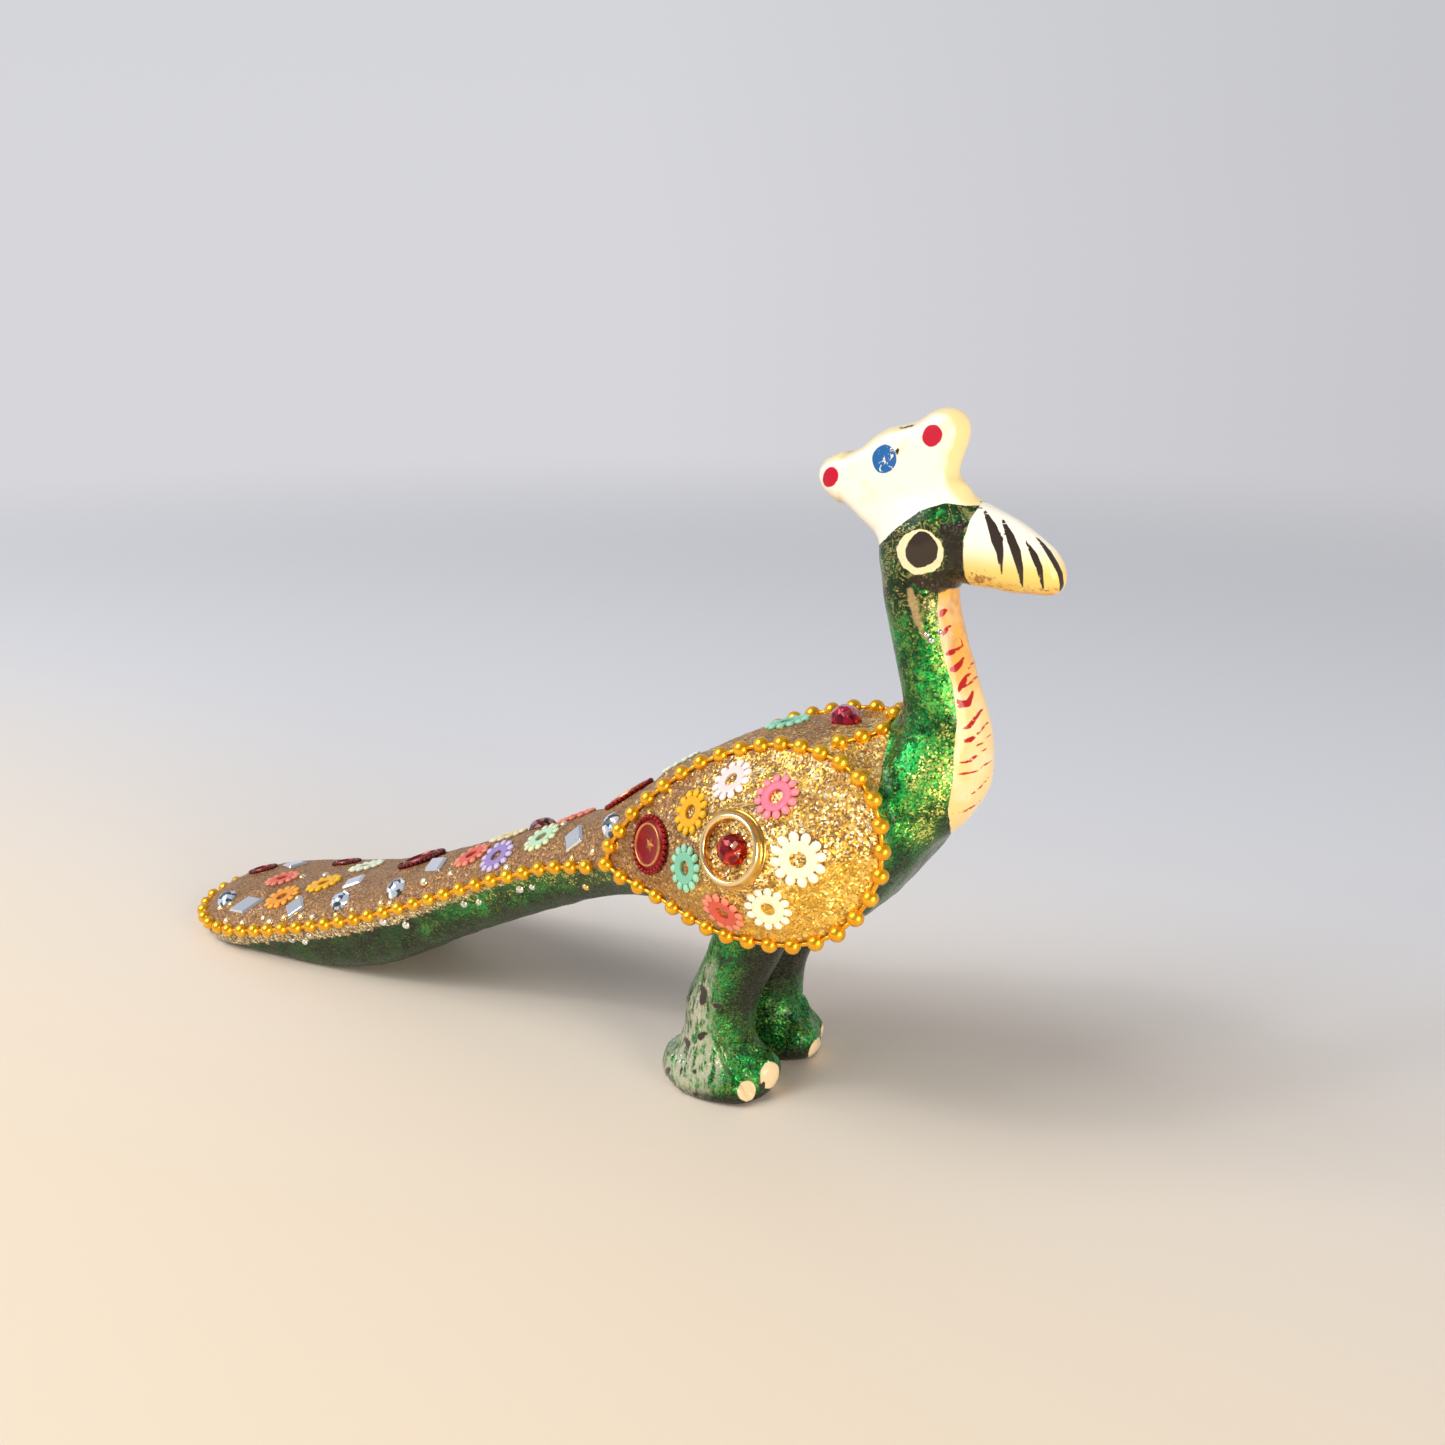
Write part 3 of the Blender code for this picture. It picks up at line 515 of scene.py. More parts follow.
CHIPS = [
    ((703, 997), (3.6, 10), 8), ((702.5, 1035.5), (6.5, 3.2), -35), ((687.7, 1043.5), (2.8, 6), -10),
    ((718, 1006), (5, 2.5), 20), ((681, 1071), (2.0, 3.5), 20), ((695, 1072), (1.5, 3.0), 0),
    ((668, 1071), (2.0, 4.0), 10), ((897, 452), (2.6, 3.4), 20), ((950, 476), (1.0, 3.2), -25),
    ((968, 482), (5, 1.6), 35), ((903, 428), (8, 1.0), -15), ((941, 423), (3, 1.0), -20),
    ((730, 960), (3, 4), 10), ((763, 1086), (1.5, 4), 10), ((972, 507), (9, 1.0), 5),
]


def across_at(height, edge):
    """How far across the photograph a painted edge is at some heights."""
    across, down = zip(*edge)
    return np.interp(height, down, across)


u, v = seen_mirrored(skin)
true_u, true_v = seen_at(skin)
on_head = (z > HEAD_Z) & (x > 5)
crest = np.where(on_head & (u < 982), (np.interp(u, *zip(*CREST_EDGE)) - v) / PX_PER_MM, OUTSIDE)
beak = np.minimum((u - across_at(v, BEAK_EDGE)) / PX_PER_MM, np.minimum(z - 65.3, x - 26.5))
throat = np.minimum(u - across_at(v, THROAT_EDGE), np.minimum(THROAT_FOOT - v, v - THROAT_TOP)) / PX_PER_MM
throat = np.where((x > 18) & (z < 66.5) & (facing[:, 0] > -0.1), throat, OUTSIDE)
ridge_stripe = np.where(y < 0, stroke(true_u, true_v, *RIDGE_STRIPE), OUTSIDE)
stripes = np.maximum(furthest_in(stroke, u, v, BEAK_STRIPES), ridge_stripe)
strokes = furthest_in(stroke, true_u, true_v, THROAT_STROKES)
strokes = np.where((throat > 0.05) & (facing @ view_back > 0.02), strokes, OUTSIDE)
streak = np.where((z > 55) & (z < 68), stroke(u, v, *EAR_STREAK), OUTSIDE)
nails = np.where(y < 0, furthest_in(blot, u, v, NEAR_NAILS), furthest_in(blot, true_u, true_v, FAR_NAILS))
nails = np.where((x > 0) & (z > 0.3) & (z < 9), nails, OUTSIDE)
# Painted light: the wing's paste is painted warmer and brighter low on its front, where the sunlit floor is
# reflected, and low at its rear, where it faces away from the lamps.
warm = np.maximum(blot(u, v, *PAINTED_WARM_LIGHT_FRONT) / 5.7, blot(u, v, *PAINTED_WARM_LIGHT_REAR) / 20) * (in_wing > 0)
worn = np.maximum(blot(u, v, *WORN_HEEL), stroke(u, v, *WORN_SHANK))
# Painted shade: the green is painted darker on faces that turn down, on the lower legs, towards the tail's
# end and under the breast.
low = soft_step(0.25, -0.55, facing[:, 2]) * (x < BREAST_X) + 0.4 * soft_step(26, 20, z) * (x > -8)
low = np.maximum(low, soft_step(-38, -52, x))
low = np.maximum(low, 0.85 * soft_step(0.1, -0.6, facing[:, 2]) * (x > BREAST_X) * (z < 50))
# Painted shade: the neck is painted darker where it turns back to the nape. The top of the head is painted
# dark green as its own colour.
nape_shade = 0.7 * soft_step(-0.5, -0.95, facing[:, 0]) * (z > 50)
# Painted glints: the paste's share of bright grains rises towards each wing's front, where the light catches
# the glitter, and falls low on the wing, where it does not. The tail's matt paste has few.
wing_glitter_and_painted_glint = 0.18 + 0.82 * soft_step(-3, 13, x + 0.35 * (z - 34))
sparkle = np.where(x < TAIL_X, 0.05, np.where(in_wing > 0, wing_glitter_and_painted_glint, 0.22))
sparkle = np.where((over_back > 0) & (x > BREAST_X), 0.9, sparkle)
sparkle = sparkle * (1 - 0.3 * soft_step(33, 27, z) * (in_wing > 0))
breast_dust = 0.8 * soft_step(3.2, 0.4, -in_wing) * soft_step(6, 16, x) * (in_wing < 0)
neck_dust = 0.9 * soft_step(-1.2, 1.0, stroke(u, v, *DUSTED_NECK))
tail_dust = 0.5 * soft_step(-46, -36, x) * (x < TAIL_X - 1) * soft_step(-4.5, -1, over_tail)

for name, values in {
    "under": low,
    "shade": np.maximum(0.85 * soft_step(59.5, 64, z) * (x > 5), nape_shade),
    "sparkle": sparkle,
    "dust": np.maximum(np.maximum(breast_dust, neck_dust), tail_dust),
    "flatness": np.abs(facing[:, 1]),
    "paste": paste,
    "glue": glue,
    "crest": crest,
    "beak": beak,
    "throat": throat,
    "strokes": strokes,
    "streak": streak,
    "dark": np.where(on_head, to_loop(u, v, DARK_PATCH) / PX_PER_MM, OUTSIDE),
    "ring": blot(u, v, *RING),
    "pupil": blot(u, v, *PUPIL),
    "red_dots": np.where(on_head, furthest_in(blot, u, v, RED_DOTS), OUTSIDE),
    "blue_dot": np.where(on_head, blot(u, v, *BLUE_DOT), OUTSIDE),
    "stripes": np.where(beak > 0, stripes, OUTSIDE),
    "grime": np.where(beak > 0, blot(u, v, *BEAK_GRIME), OUTSIDE),
    "warm": warm,
    "nails": nails,
    "worn": np.where((z < 22) & (x < 8), worn, OUTSIDE),
    "chips": np.where((z < 24) | on_head, furthest_in(blot, u, v, CHIPS), OUTSIDE),
}.items():
    lay_on(cast.data, name, values)


class Wire:
    """A socket of a material, on which Python's operators add Math nodes."""

    def __init__(self, paint, socket):
        self.paint = paint
        self.socket = socket

    def maths(self, operation, *others):
        return self.paint.node("ShaderNodeMath", {"operation": operation}, dict(enumerate((self, *others))))

    def __add__(self, other):
        return self.maths("ADD", other)

    def __sub__(self, other):
        return self.maths("SUBTRACT", other)

    def __rsub__(self, other):
        return self.paint.node("ShaderNodeMath", {"operation": "SUBTRACT"}, {0: other, 1: self})

    def __mul__(self, other):
        return self.maths("MULTIPLY", other)

    __radd__ = __add__
    __rmul__ = __mul__


class Paint:
    """A material, or the world, round its one shader. All other nodes come from one method."""

    def __init__(self, name, kind=bpy.data.materials, shader="Principled BSDF", **plain):
        self.owner = kind.new(name)
        self.owner.use_nodes = True
        self.tree = self.owner.node_tree
        self.shader = self.tree.nodes[shader]
        self.to(**plain)

    def node(self, kind, settings=None, sockets=None, out=0):
        made = self.tree.nodes.new(kind)
        for setting, value in (settings or {}).items():
            setattr(made, setting, value)
        for socket, value in (sockets or {}).items():
            self.feed(made.inputs[socket], value)
        return Wire(self, made.outputs[out])

    def feed(self, socket, value):
        if isinstance(value, Wire):
            self.tree.links.new(value.socket, socket)
        elif isinstance(value, tuple) and len(value) == 3 and socket.type == "RGBA":
            socket.default_value = (*value, 1)
        else:
            socket.default_value = value

    def to(self, **sockets):
        for socket, value in sockets.items():
            self.feed(self.shader.inputs[socket.replace("_", " ")], value)

    def vector(self, operation, sockets, out=0):
        return self.node("ShaderNodeVectorMath", {"operation": operation}, sockets, out)

    def in_mm(self):
        """The object's own coordinates, in millimetres."""
        return self.vector("SCALE", {0: self.node("ShaderNodeTexCoord", out="Object"), "Scale": 1 / MM})

    def read(self, name):
        return self.node("ShaderNodeAttribute", {"attribute_name": name}, out="Fac")

    def noise(self, where, size, detail=2.0, rough=0.5, twist=0.0):
        """Soft noise round a half, of a size in millimetres."""
        sockets = {
            "Vector": where, "Scale": 1 / size, "Detail": detail, "Roughness": rough, "Distortion": twist,
        }
        return self.node("ShaderNodeTexNoise", None, sockets, out="Fac")

    def cells(self, where, size):
        """Flat cells of a size in millimetres, each of its own random colour."""
        return self.node("ShaderNodeTexVoronoi", None, {"Vector": where, "Scale": 1 / size}, out="Color")

    def parts(self, colour):
        split = self.node("ShaderNodeSeparateColor", None, {0: colour})
        return [Wire(self, socket) for socket in split.socket.node.outputs]

    def ramp(self, low, high, value, bend="SMOOTHSTEP"):
        """From 0 to 1 between two values, or the other way round where low is the higher."""
        sockets = {"Value": value, "From Min": low, "From Max": high}
        return self.node("ShaderNodeMapRange", {"interpolation_type": bend}, sockets)

    def mix(self, share, first, second, blend="MIX"):
        settings = {"data_type": "RGBA", "blend_type": blend}
        return self.node("ShaderNodeMix", settings, {0: share, 6: first, 7: second}, out=2)

    def layered(self, ground, *layers):
        """Colours laid over each other in turn, each with its share."""
        for share, colour in layers:
            ground = self.mix(share, ground, colour)
        return ground

    def bump(self, strength, depth, height, **more):
        """A bumpy surface's normal, the depth in millimetres."""
        sockets = {"Strength": strength, "Distance": depth * MM, "Height": height, **more}
        return self.node("ShaderNodeBump", None, sockets)

    def normal(self):
        return self.node("ShaderNodeNewGeometry", out="Normal")

    def flaked(self, random, amount):
        """The surface's normal, thrown about by a random colour."""
        off = self.vector("SUBTRACT", {0: random, 1: (0.5, 0.5, 0.5)})
        off = self.vector("SCALE", {0: off, "Scale": amount})
        return self.vector("NORMALIZE", {0: self.vector("ADD", {0: self.normal(), 1: off})})

    def put_on(self, thing):
        thing.data.materials.clear()
        thing.data.materials.append(self.owner)


GREEN_BRIGHT = (0.012, 0.42, 0.07)
GREEN_DEEP = (0.004, 0.085, 0.016)
GREEN_BLACK = (0.008, 0.016, 0.008)
GREEN_UNDERSIDE_SHADE = (0.023, 0.027, 0.015)
GREEN_FLECK = (0.3, 0.42, 0.06)
GREEN_DARK_HEAD_AND_NAPE_SHADE = (0.012, 0.018, 0.007)
GREEN_STREAK = (0.5, 0.42, 0.16)
FLAKE_DARK = (0.3, 0.3, 0.3)
FLAKE_LIGHT = (1.7, 1.7, 1.7)
DUST_GOLD = (0.55, 0.6, 0.14)
PASTE_BROWN = (0.18, 0.09, 0.045)
PASTE_TAN = (0.5, 0.27, 0.13)
PASTE_RICH = (0.5, 0.27, 0.06)
PASTE_PAINTED_WARM_LIGHT = (0.86, 0.5, 0.04)
PASTE_GOLD = (0.95, 0.56, 0.1)
PASTE_PAINTED_GLINT = (1.0, 0.92, 0.6)
PASTE_PAINTED_WARM_GLINT = (1.0, 0.74, 0.22)
GLUE_BEIGE = (0.6, 0.42, 0.2)
GLUE_BROWN = (0.16, 0.1, 0.045)
CREAM_WHITE = (0.93, 0.9, 0.78)
CREAM_YELLOW = (0.9, 0.66, 0.19)
CREAM_ORANGE = (0.78, 0.4, 0.08)
GRIME = (0.3, 0.09, 0.02)
CREST_YELLOW = (0.92, 0.73, 0.35)
THROAT_YELLOW = (0.9, 0.67, 0.29)
THROAT_AMBER = (0.85, 0.44, 0.08)
THROAT_BROWN = (0.6, 0.3, 0.1)
STROKE_RED = (0.45, 0.01, 0.006)
DOT_RED = (0.55, 0.01, 0.035)
DOT_BLUE = (0.012, 0.13, 0.4)
CHARCOAL = (0.035, 0.024, 0.018)
NAIL_CREAM = (0.86, 0.68, 0.42)
WORN_SILVER = (0.6, 0.62, 0.46)
FLAKE_SIZE = 0.21
SAND_SIZE = 0.2
GRAIN_SIZE = 0.26

# Here and below, p is the paint in hand and at is a place on the piece, in millimetres.
skin_paint = p = Paint("peacock_cast_paint", Coat_Roughness=0.1, Specular_IOR_Level=0.2)
at = p.in_mm()
fine = p.noise(at, 0.45, 3.0, 0.65)
middling = p.noise(at, 1.5, 3.0, 0.6, 0.4)
broad = p.noise(at, 5.0, 2.0, 0.5, 0.3)
veins = p.noise(at, 2.6, 4.0, 0.65, 1.4)
wobble = (p.noise(at, 1.1, 2.0) - 0.5) * 0.45


def within(name, soft, rough):
    """Share of a painted area, its edge wavering as a brush leaves it."""
    return p.ramp(-soft, soft, p.read(name) + wobble * rough)


def either(*shares):
    """The larger of several shares."""
    most = shares[0]
    for share in shares[1:]:
        most = most.maths("MAXIMUM", share)
    return most


flakes = p.cells(at, FLAKE_SIZE)
flake_1, flake_2, flake_3 = p.parts(flakes)
under = p.read("under")
shade = p.read("shade")
dusty = p.read("dust") * p.ramp(0.35, 0.65, middling * 0.6 + broad * 0.4)
upright = p.vector("MULTIPLY", {0: at, 1: (1.0, 1.0, 0.3)})
worn = within("worn", 1.4, 4.0) * p.ramp(0.39, 0.55, p.noise(upright, 0.6, 4.0, 0.65)) * 0.9
green = p.layered(
    p.mix(p.ramp(0.38, 0.6, broad), GREEN_DEEP, GREEN_BRIGHT),
    (p.ramp(0.52, 0.68, middling) * 0.8, GREEN_BLACK),
    (p.ramp(0.5, 0.62, veins) * p.ramp(0.66, 0.58, veins) * 0.42, GREEN_FLECK),
    # Painted shade on the undersides.
    (under * p.ramp(0.22, 0.46, middling * 0.5 + broad * 0.5) * 0.9, GREEN_UNDERSIDE_SHADE),
    # The head's own dark green, and painted shade on the nape.
    (shade * p.ramp(0.25, 0.45, middling), GREEN_DARK_HEAD_AND_NAPE_SHADE),
    (shade * p.ramp(0.5, 0.53, veins) * p.ramp(0.57, 0.54, veins) * 0.6, GREEN_STREAK),
    (dusty * 0.35, GREEN_FLECK),
)
green = p.layered(
    p.mix(1.0, green, p.mix(flake_1, FLAKE_DARK, FLAKE_LIGHT), "MULTIPLY"),
    (p.ramp(0.93, 0.95, flake_2) * (0.6 - 0.45 * under * under), GREEN_FLECK),
    (p.ramp(0.0, 0.08, flake_3 - 1 + dusty * 0.6), DUST_GOLD),
    (worn, WORN_SILVER),
)

sand_1, sand_2, sand_3 = p.parts(p.cells(at, SAND_SIZE))
grains = p.cells(at, GRAIN_SIZE)
grain_1, grain_2, grain_3 = p.parts(grains)
sparkle = p.read("sparkle")
# Painted warm light on the wing's paste, and warmer painted glints in it.
painted_warm_light_share = p.ramp(0.0, 0.35, p.read("warm"))
clumps = p.ramp(0.3, 0.7, p.noise(at, 1.8, 3.0, 0.6))
# Painted glints: near-white grains in the paste's colour.
glitter = sparkle * (0.12 + clumps * 0.88)
shiny = p.ramp(0.0, 0.05, grain_1 - 1 + glitter * 0.8)
gold = p.layered(
    p.mix(sand_1, PASTE_BROWN, p.mix(sparkle, PASTE_TAN, PASTE_RICH)),
    (painted_warm_light_share * (0.15 + 0.8 * sand_3), PASTE_PAINTED_WARM_LIGHT),
    (p.ramp(0.8, 0.95, sand_2) * (0.25 + 0.55 * sparkle), PASTE_GOLD),
    (shiny, PASTE_GOLD),
    (p.ramp(0.0, 0.03, grain_2 - 1 + glitter * 0.4), p.mix(painted_warm_light_share, PASTE_PAINTED_GLINT, PASTE_PAINTED_WARM_GLINT)),
)
on_paste = p.ramp(-0.05, 0.05, p.read("paste"))
on_glue = p.ramp(-0.15, 0.15, p.read("glue") + (p.noise(at, 1.3, 3.0, 0.6) - 0.5) * 3.0)
smeared = p.mix(p.ramp(0.42, 0.56, fine), GLUE_BROWN, GLUE_BEIGE)
# Painted glints: pale flecks in the glue.
smeared = p.mix(p.ramp(0.8, 0.83, grain_3), smeared, PASTE_PAINTED_GLINT)

# Painted shade: the crest is painted yellower where it turns away from its flat sides, over its own yellow
# stains.
crest_edge_shade = p.ramp(0.85, 0.4, p.read("flatness"))
stains = p.ramp(0.54, 0.72, p.noise(at, 3.4, 3.0))
cream = p.mix(crest_edge_shade * 0.95 + stains * 0.45, CREAM_WHITE, CREST_YELLOW)
forward, sideways, height = p.parts(at)
beak_cream = p.layered(
    CREAM_WHITE,
    (p.ramp(71.6, 68.2, height), CREAM_YELLOW),
    (p.ramp(68.0, 66.2, height) * p.ramp(0.35, 0.6, middling) * 0.6, CREAM_ORANGE),
    (p.ramp(67.6, 66.6, height) * p.ramp(0.52, 0.66, fine) * 0.8, GRIME),
    (p.ramp(0.0, 0.5, p.read("grime") + (fine - 0.5) * 3.0) * 0.8, GRIME),
)
throat_cream = p.layered(
    THROAT_YELLOW,
    (p.ramp(51, 59, height), THROAT_AMBER),
    (p.ramp(55, 61, height) * p.ramp(0.42, 0.62, middling) * 0.8, THROAT_BROWN),
    (p.ramp(0.5, 0.7, broad) * 0.3, CREAM_WHITE),
)

# On the far side of the throat the strokes are thin, even rows.
ROW_PITCH = 1.9
row = (height - 0.45 * forward + 1.6 * p.noise(at, 4.0, 2.0)) * (1 / ROW_PITCH)
in_rows = p.ramp(0.19, 0.1, row.maths("FRACT")) * p.ramp(0.4, 0.5, p.noise(at, 1.7, 2.0))
in_rows = in_rows * p.ramp(2.0, 2.8, sideways) * p.ramp(40.5, 42.0, height) * p.ramp(56.0, 54.5, height)

# All that is painted on, in the order in which it covers what lies under it.
on_crest = within("crest", 0.05, 0.5)
on_beak = within("beak", 0.05, 0.3)
on_throat = within("throat", 0.06, 0.6)
colour = p.layered(
    green,
    (on_glue * 0.9, smeared),
    (on_paste, gold),
    (on_crest, cream),
    (on_beak, beak_cream),
    (on_throat, throat_cream),
    (within("strokes", 0.05, 0.3), STROKE_RED),
    (in_rows * on_throat * 0.92, STROKE_RED),
)
scratches = p.ramp(0.56, 0.64, p.noise(at, 0.9, 3.0, 0.6, 1.2))
covered = {}
for mark, soft, ragged, cover, look in (
    ("streak", 0.15, 1.2, 0.8, GLUE_BEIGE),
    ("dark", 0.15, 2.0, 0.93, CHARCOAL),
    ("ring", 0.05, 1.5, 1.0, p.mix(fine, CREAM_YELLOW, CREAM_WHITE)),
    ("pupil", 0.05, 1.4, 1.0, CHARCOAL),
    ("red_dots", 0.05, 0.4, 1.0, DOT_RED),
    ("blue_dot", 0.05, 0.4, 1.0, p.mix(scratches, DOT_BLUE, CREAM_WHITE)),
    ("stripes", 0.04, 0.25, 1.0, CHARCOAL),
    ("nails", 0.05, 0.6, 1.0, NAIL_CREAM),
    ("chips", 0.06, 1.2, 1.0, CHARCOAL),
):
    covered[mark] = within(mark, soft, ragged)
    colour = p.mix(covered[mark] * cover, colour, look)

marks = [covered[mark] for mark in ("ring", "red_dots", "blue_dot", "nails", "chips")]
plain = either(on_crest, on_beak, on_throat, *marks)
metal = on_paste * (0.35 + 0.5 * shiny) + (1 - on_paste) * 0.5 * (1 - on_glue * 0.7)
rough = on_paste * (0.3 + 0.25 * sand_3) + (1 - on_paste) * (0.2 + 0.25 * flake_2)
glittery = p.mix(on_paste, p.flaked(flakes, 0.5), p.flaked(grains, 0.8))
bumps = p.noise(at, 0.8, 4.0, 0.65) * 0.6 + fine * 0.4
bumpy = p.bump(0.5, 0.12, bumps * (1 - plain * 0.75), Normal=p.mix(plain, glittery, p.normal()))
coat = (1 - on_paste) * (0.25 + 0.27 * plain)
rough = plain * (0.22 - rough) + rough
p.to(Base_Color=colour, Metallic=metal * (1 - plain), Roughness=rough, Normal=bumpy, Coat_Weight=coat)
skin_paint.put_on(cast)
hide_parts("peacock_body")
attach(cast, "root")

# Bead chains: round beads of gold-plated plastic in one piece with the short bars between them, glued round
# each wing, along both edges of the tail and round the foot of the neck.
LINK_RADIUS = 0.27
BEAD_TWIST = 0.7


def modelled(name):
    """The primitive just added, with its place in its mesh and a name of its own."""
    bpy.ops.object.transform_apply()
    pattern = bpy.context.object
    pattern.name = name
    return pattern


def joined(things):
    only(things[0])
    for thing in things[1:]:
        thing.select_set(True)
    if len(things) > 1:
        bpy.ops.object.join()
    return things[0]


def laid_out(name, patterns, places):
    """One new piece: a copy of the patterns at each place, all joined."""
    copies = []
    for place in places:
        for pattern in patterns:
            copy = own_copy(name, pattern.data)
            copy.data.transform(place)
            copies.append(copy)
    return joined(copies)


def turned_to(way):
    """Turns what stands upright until it points a given way."""
    return way.to_track_quat("Z", "Y").to_matrix().to_4x4()


def stands_for(piece, node, paint):
    """Puts a finished piece in its node's place."""
    paint.put_on(piece)
    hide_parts(node)
    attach(piece, "root")


bpy.ops.mesh.primitive_uv_sphere_add(segments=12, ring_count=8, radius=BEAD_RADIUS / MM)
bead = modelled("bead_pattern")
bead.data.shade_smooth()
bpy.ops.mesh.primitive_cylinder_add(vertices=6, radius=LINK_RADIUS, depth=1)
link = modelled("link_pattern")
link.data.shade_smooth()

bead_gold = p = Paint("bead_gold", Coat_Weight=0.3, Coat_Roughness=0.05)
at = p.in_mm()
gold = p.mix(p.ramp(0.35, 0.7, p.noise(at, 1.3, 3.0, 0.6)), (0.9, 0.4, 0.008), (0.99, 0.55, 0.02))
dents = p.bump(0.2, 0.1, p.noise(at, 0.5, 2.0))
p.to(Base_Color=gold, Metallic=0.78, Roughness=0.2 + 0.15 * p.noise(at, 0.7), Normal=dents)

for node, middles in beads_of.items():
    spots = []
    for i, middle in enumerate(middles):
        turned = Matrix.Rotation(BEAD_TWIST * i, 4, "Y")
        spots.append(Matrix.Translation(middle) @ turned @ Matrix.Scale(MM, 4))
    bars = []
    for start, end in links_of(middles):
        way = Vector(end - start)
        shape = Matrix.Diagonal((MM, MM, way.length, 1))
        bars.append(Matrix.Translation((start + end) / 2) @ turned_to(way) @ shape)
    beads = laid_out(node + "_beads", [bead], spots)
    rods = laid_out(node + "_links", [link], bars)
    stands_for(joined([beads, rods]), node, bead_gold)

# Flower sequins: flat moulded plastic flowers with a hole in the middle and twelve round petals on short
# necks, each colour moulded in one and paler where the petals are thin. They are pressed into the paste.
FLOWER_RADIUS = 2.8
FLOWER_HEIGHT = 0.5
FLOWER_DISC = 0.67 * FLOWER_RADIUS
FLOWER_HOLE = 0.31 * FLOWER_RADIUS
FLOWER_LIP = 0.35
PETALS = 12
PETAL_MIDDLE = (0.8 * FLOWER_RADIUS, 0, 0.54 * FLOWER_HEIGHT)


def pick(thing, kind, test):
    """Goes into edit mode with the faces or points selected that pass a test."""
    in_edit_mode(thing)
    bpy.ops.mesh.select_mode(type=kind)
    bpy.ops.mesh.select_all(action="DESELECT")
    in_object_mode()
    for item in thing.data.polygons if kind == "FACE" else thing.data.vertices:
        item.select = test(item)
    bpy.ops.object.mode_set(mode="EDIT")


def blank(name, sides, radius, height):
    """A round blank on its seat, to be worked."""
    middle = (0, 0, height / 2)
    bpy.ops.mesh.primitive_cylinder_add(vertices=sides, radius=radius, depth=height, location=middle)
    return modelled(name)


def is_top(face):
    return face.normal.z > 0.9


def step_in(steps):
    """Works the chosen face inwards: each step insets it, then lifts or sinks it."""
    for inset, lift in steps:
        if inset:
            bpy.ops.mesh.inset(thickness=inset)
        if lift:
            bpy.ops.transform.translate(value=(0, 0, lift))


def spun_round(thing, count):
    """Repeats a shape in a circle about the upright axis, so that it is there count times."""
    in_edit_mode(thing)
    turn = math.tau * (count - 1) / count
    bpy.ops.mesh.spin(steps=count - 1, dupli=True, angle=turn, center=(0, 0, 0), axis=(0, 0, 1))
    in_object_mode()
    thing.data.shade_smooth()


def round_off(thing, width, angle=40, segments=2):
    edge = thing.modifiers.new("edge", "BEVEL")
    edge.width = width
    edge.segments = segments
    edge.limit_method = "ANGLE"
    edge.angle_limit = math.radians(angle)
    apply_modifiers(thing)
    thing.data.shade_smooth()


def marked(thing, name, values):
    """Keeps one number for each point of a pattern, or the same one for all."""
    lay_on(thing.data, name, np.zeros(len(thing.data.vertices)) + values)


def seated(node, ending, patterns, radius, depth=None):
    """The patterns where a node lies and as wide as it, as deep as given or else in proportion."""
    place, reach = seat_of(node)
    spread = reach / radius
    shape = Matrix.Diagonal((spread, spread, depth or spread, 1))
    return laid_out(node + ending, patterns, [place @ shape])


disc = blank("flower_disc_pattern", 36, FLOWER_DISC, FLOWER_HEIGHT)
pick(disc, "FACE", lambda face: abs(face.normal.z) > 0.9)
bpy.ops.mesh.inset(thickness=FLOWER_LIP)
bpy.ops.mesh.inset(thickness=FLOWER_DISC - FLOWER_LIP - FLOWER_HOLE)
bpy.ops.mesh.bridge_edge_loops()
in_object_mode()
round_off(disc, 0.08)
marked(disc, "petal", 0)
bpy.ops.mesh.primitive_uv_sphere_add(segments=10, ring_count=6, radius=1, location=PETAL_MIDDLE)
petal = modelled("flower_petal_pattern")
in_edit_mode(petal)
bpy.ops.transform.resize(value=(0.6, 0.5, 0.3), center_override=PETAL_MIDDLE)
in_object_mode()
spun_round(petal, PETALS)
marked(petal, "petal", 1)

FLOWER_COLOURS = {
    "cream": ((0.95, 0.9, 0.64), (0.97, 0.95, 0.78)),
    "coral": ((0.74, 0.09, 0.045), (0.87, 0.28, 0.18)),
    "teal": ((0.2, 0.55, 0.36), (0.36, 0.72, 0.5)),
    "yellow": ((0.9, 0.42, 0.004), (0.95, 0.54, 0.008)),
    "blush": ((0.93, 0.72, 0.68), (0.97, 0.88, 0.85)),
    "pink": ((0.83, 0.14, 0.22), (0.87, 0.27, 0.33)),
    "mint": ((0.5, 0.75, 0.5), (0.75, 0.82, 0.5)),
    "violet": ((0.3, 0.2, 0.5), (0.62, 0.52, 0.78)),
    "pale_gold": ((0.8, 0.66, 0.3), (0.9, 0.8, 0.5)),
    "pale": ((0.72, 0.82, 0.62), (0.85, 0.9, 0.7)),
    "mint_pale": ((0.72, 0.82, 0.6), (0.85, 0.88, 0.66)),
    "orange": ((0.85, 0.3, 0.02), (0.92, 0.42, 0.04)),
}
WORN_PLASTIC = (0.93, 0.88, 0.72)
flower_paints = {}
for name, (disc_colour, petal_colour) in FLOWER_COLOURS.items():
    p = Paint("flower_plastic_" + name, Coat_Weight=0.12, Coat_Roughness=0.15, Specular_IOR_Level=0.3)
    at = p.in_mm()
    mottle = p.noise(at, 0.8, 3.0, 0.6)
    plastic = p.mix(p.read("petal") * 0.9 + mottle * 0.2, disc_colour, petal_colour)
    worn_off = p.ramp(0.62, 0.75, p.noise(at, 0.35, 3.0, 0.7)) * 0.35
    plastic = p.mix(worn_off, plastic, WORN_PLASTIC)
    grained = p.bump(0.15, 0.05, p.noise(at, 0.3, 2.0))
    p.to(Base_Color=plastic, Roughness=0.3 + 0.25 * mottle, Normal=grained)
    flower_paints[name] = p

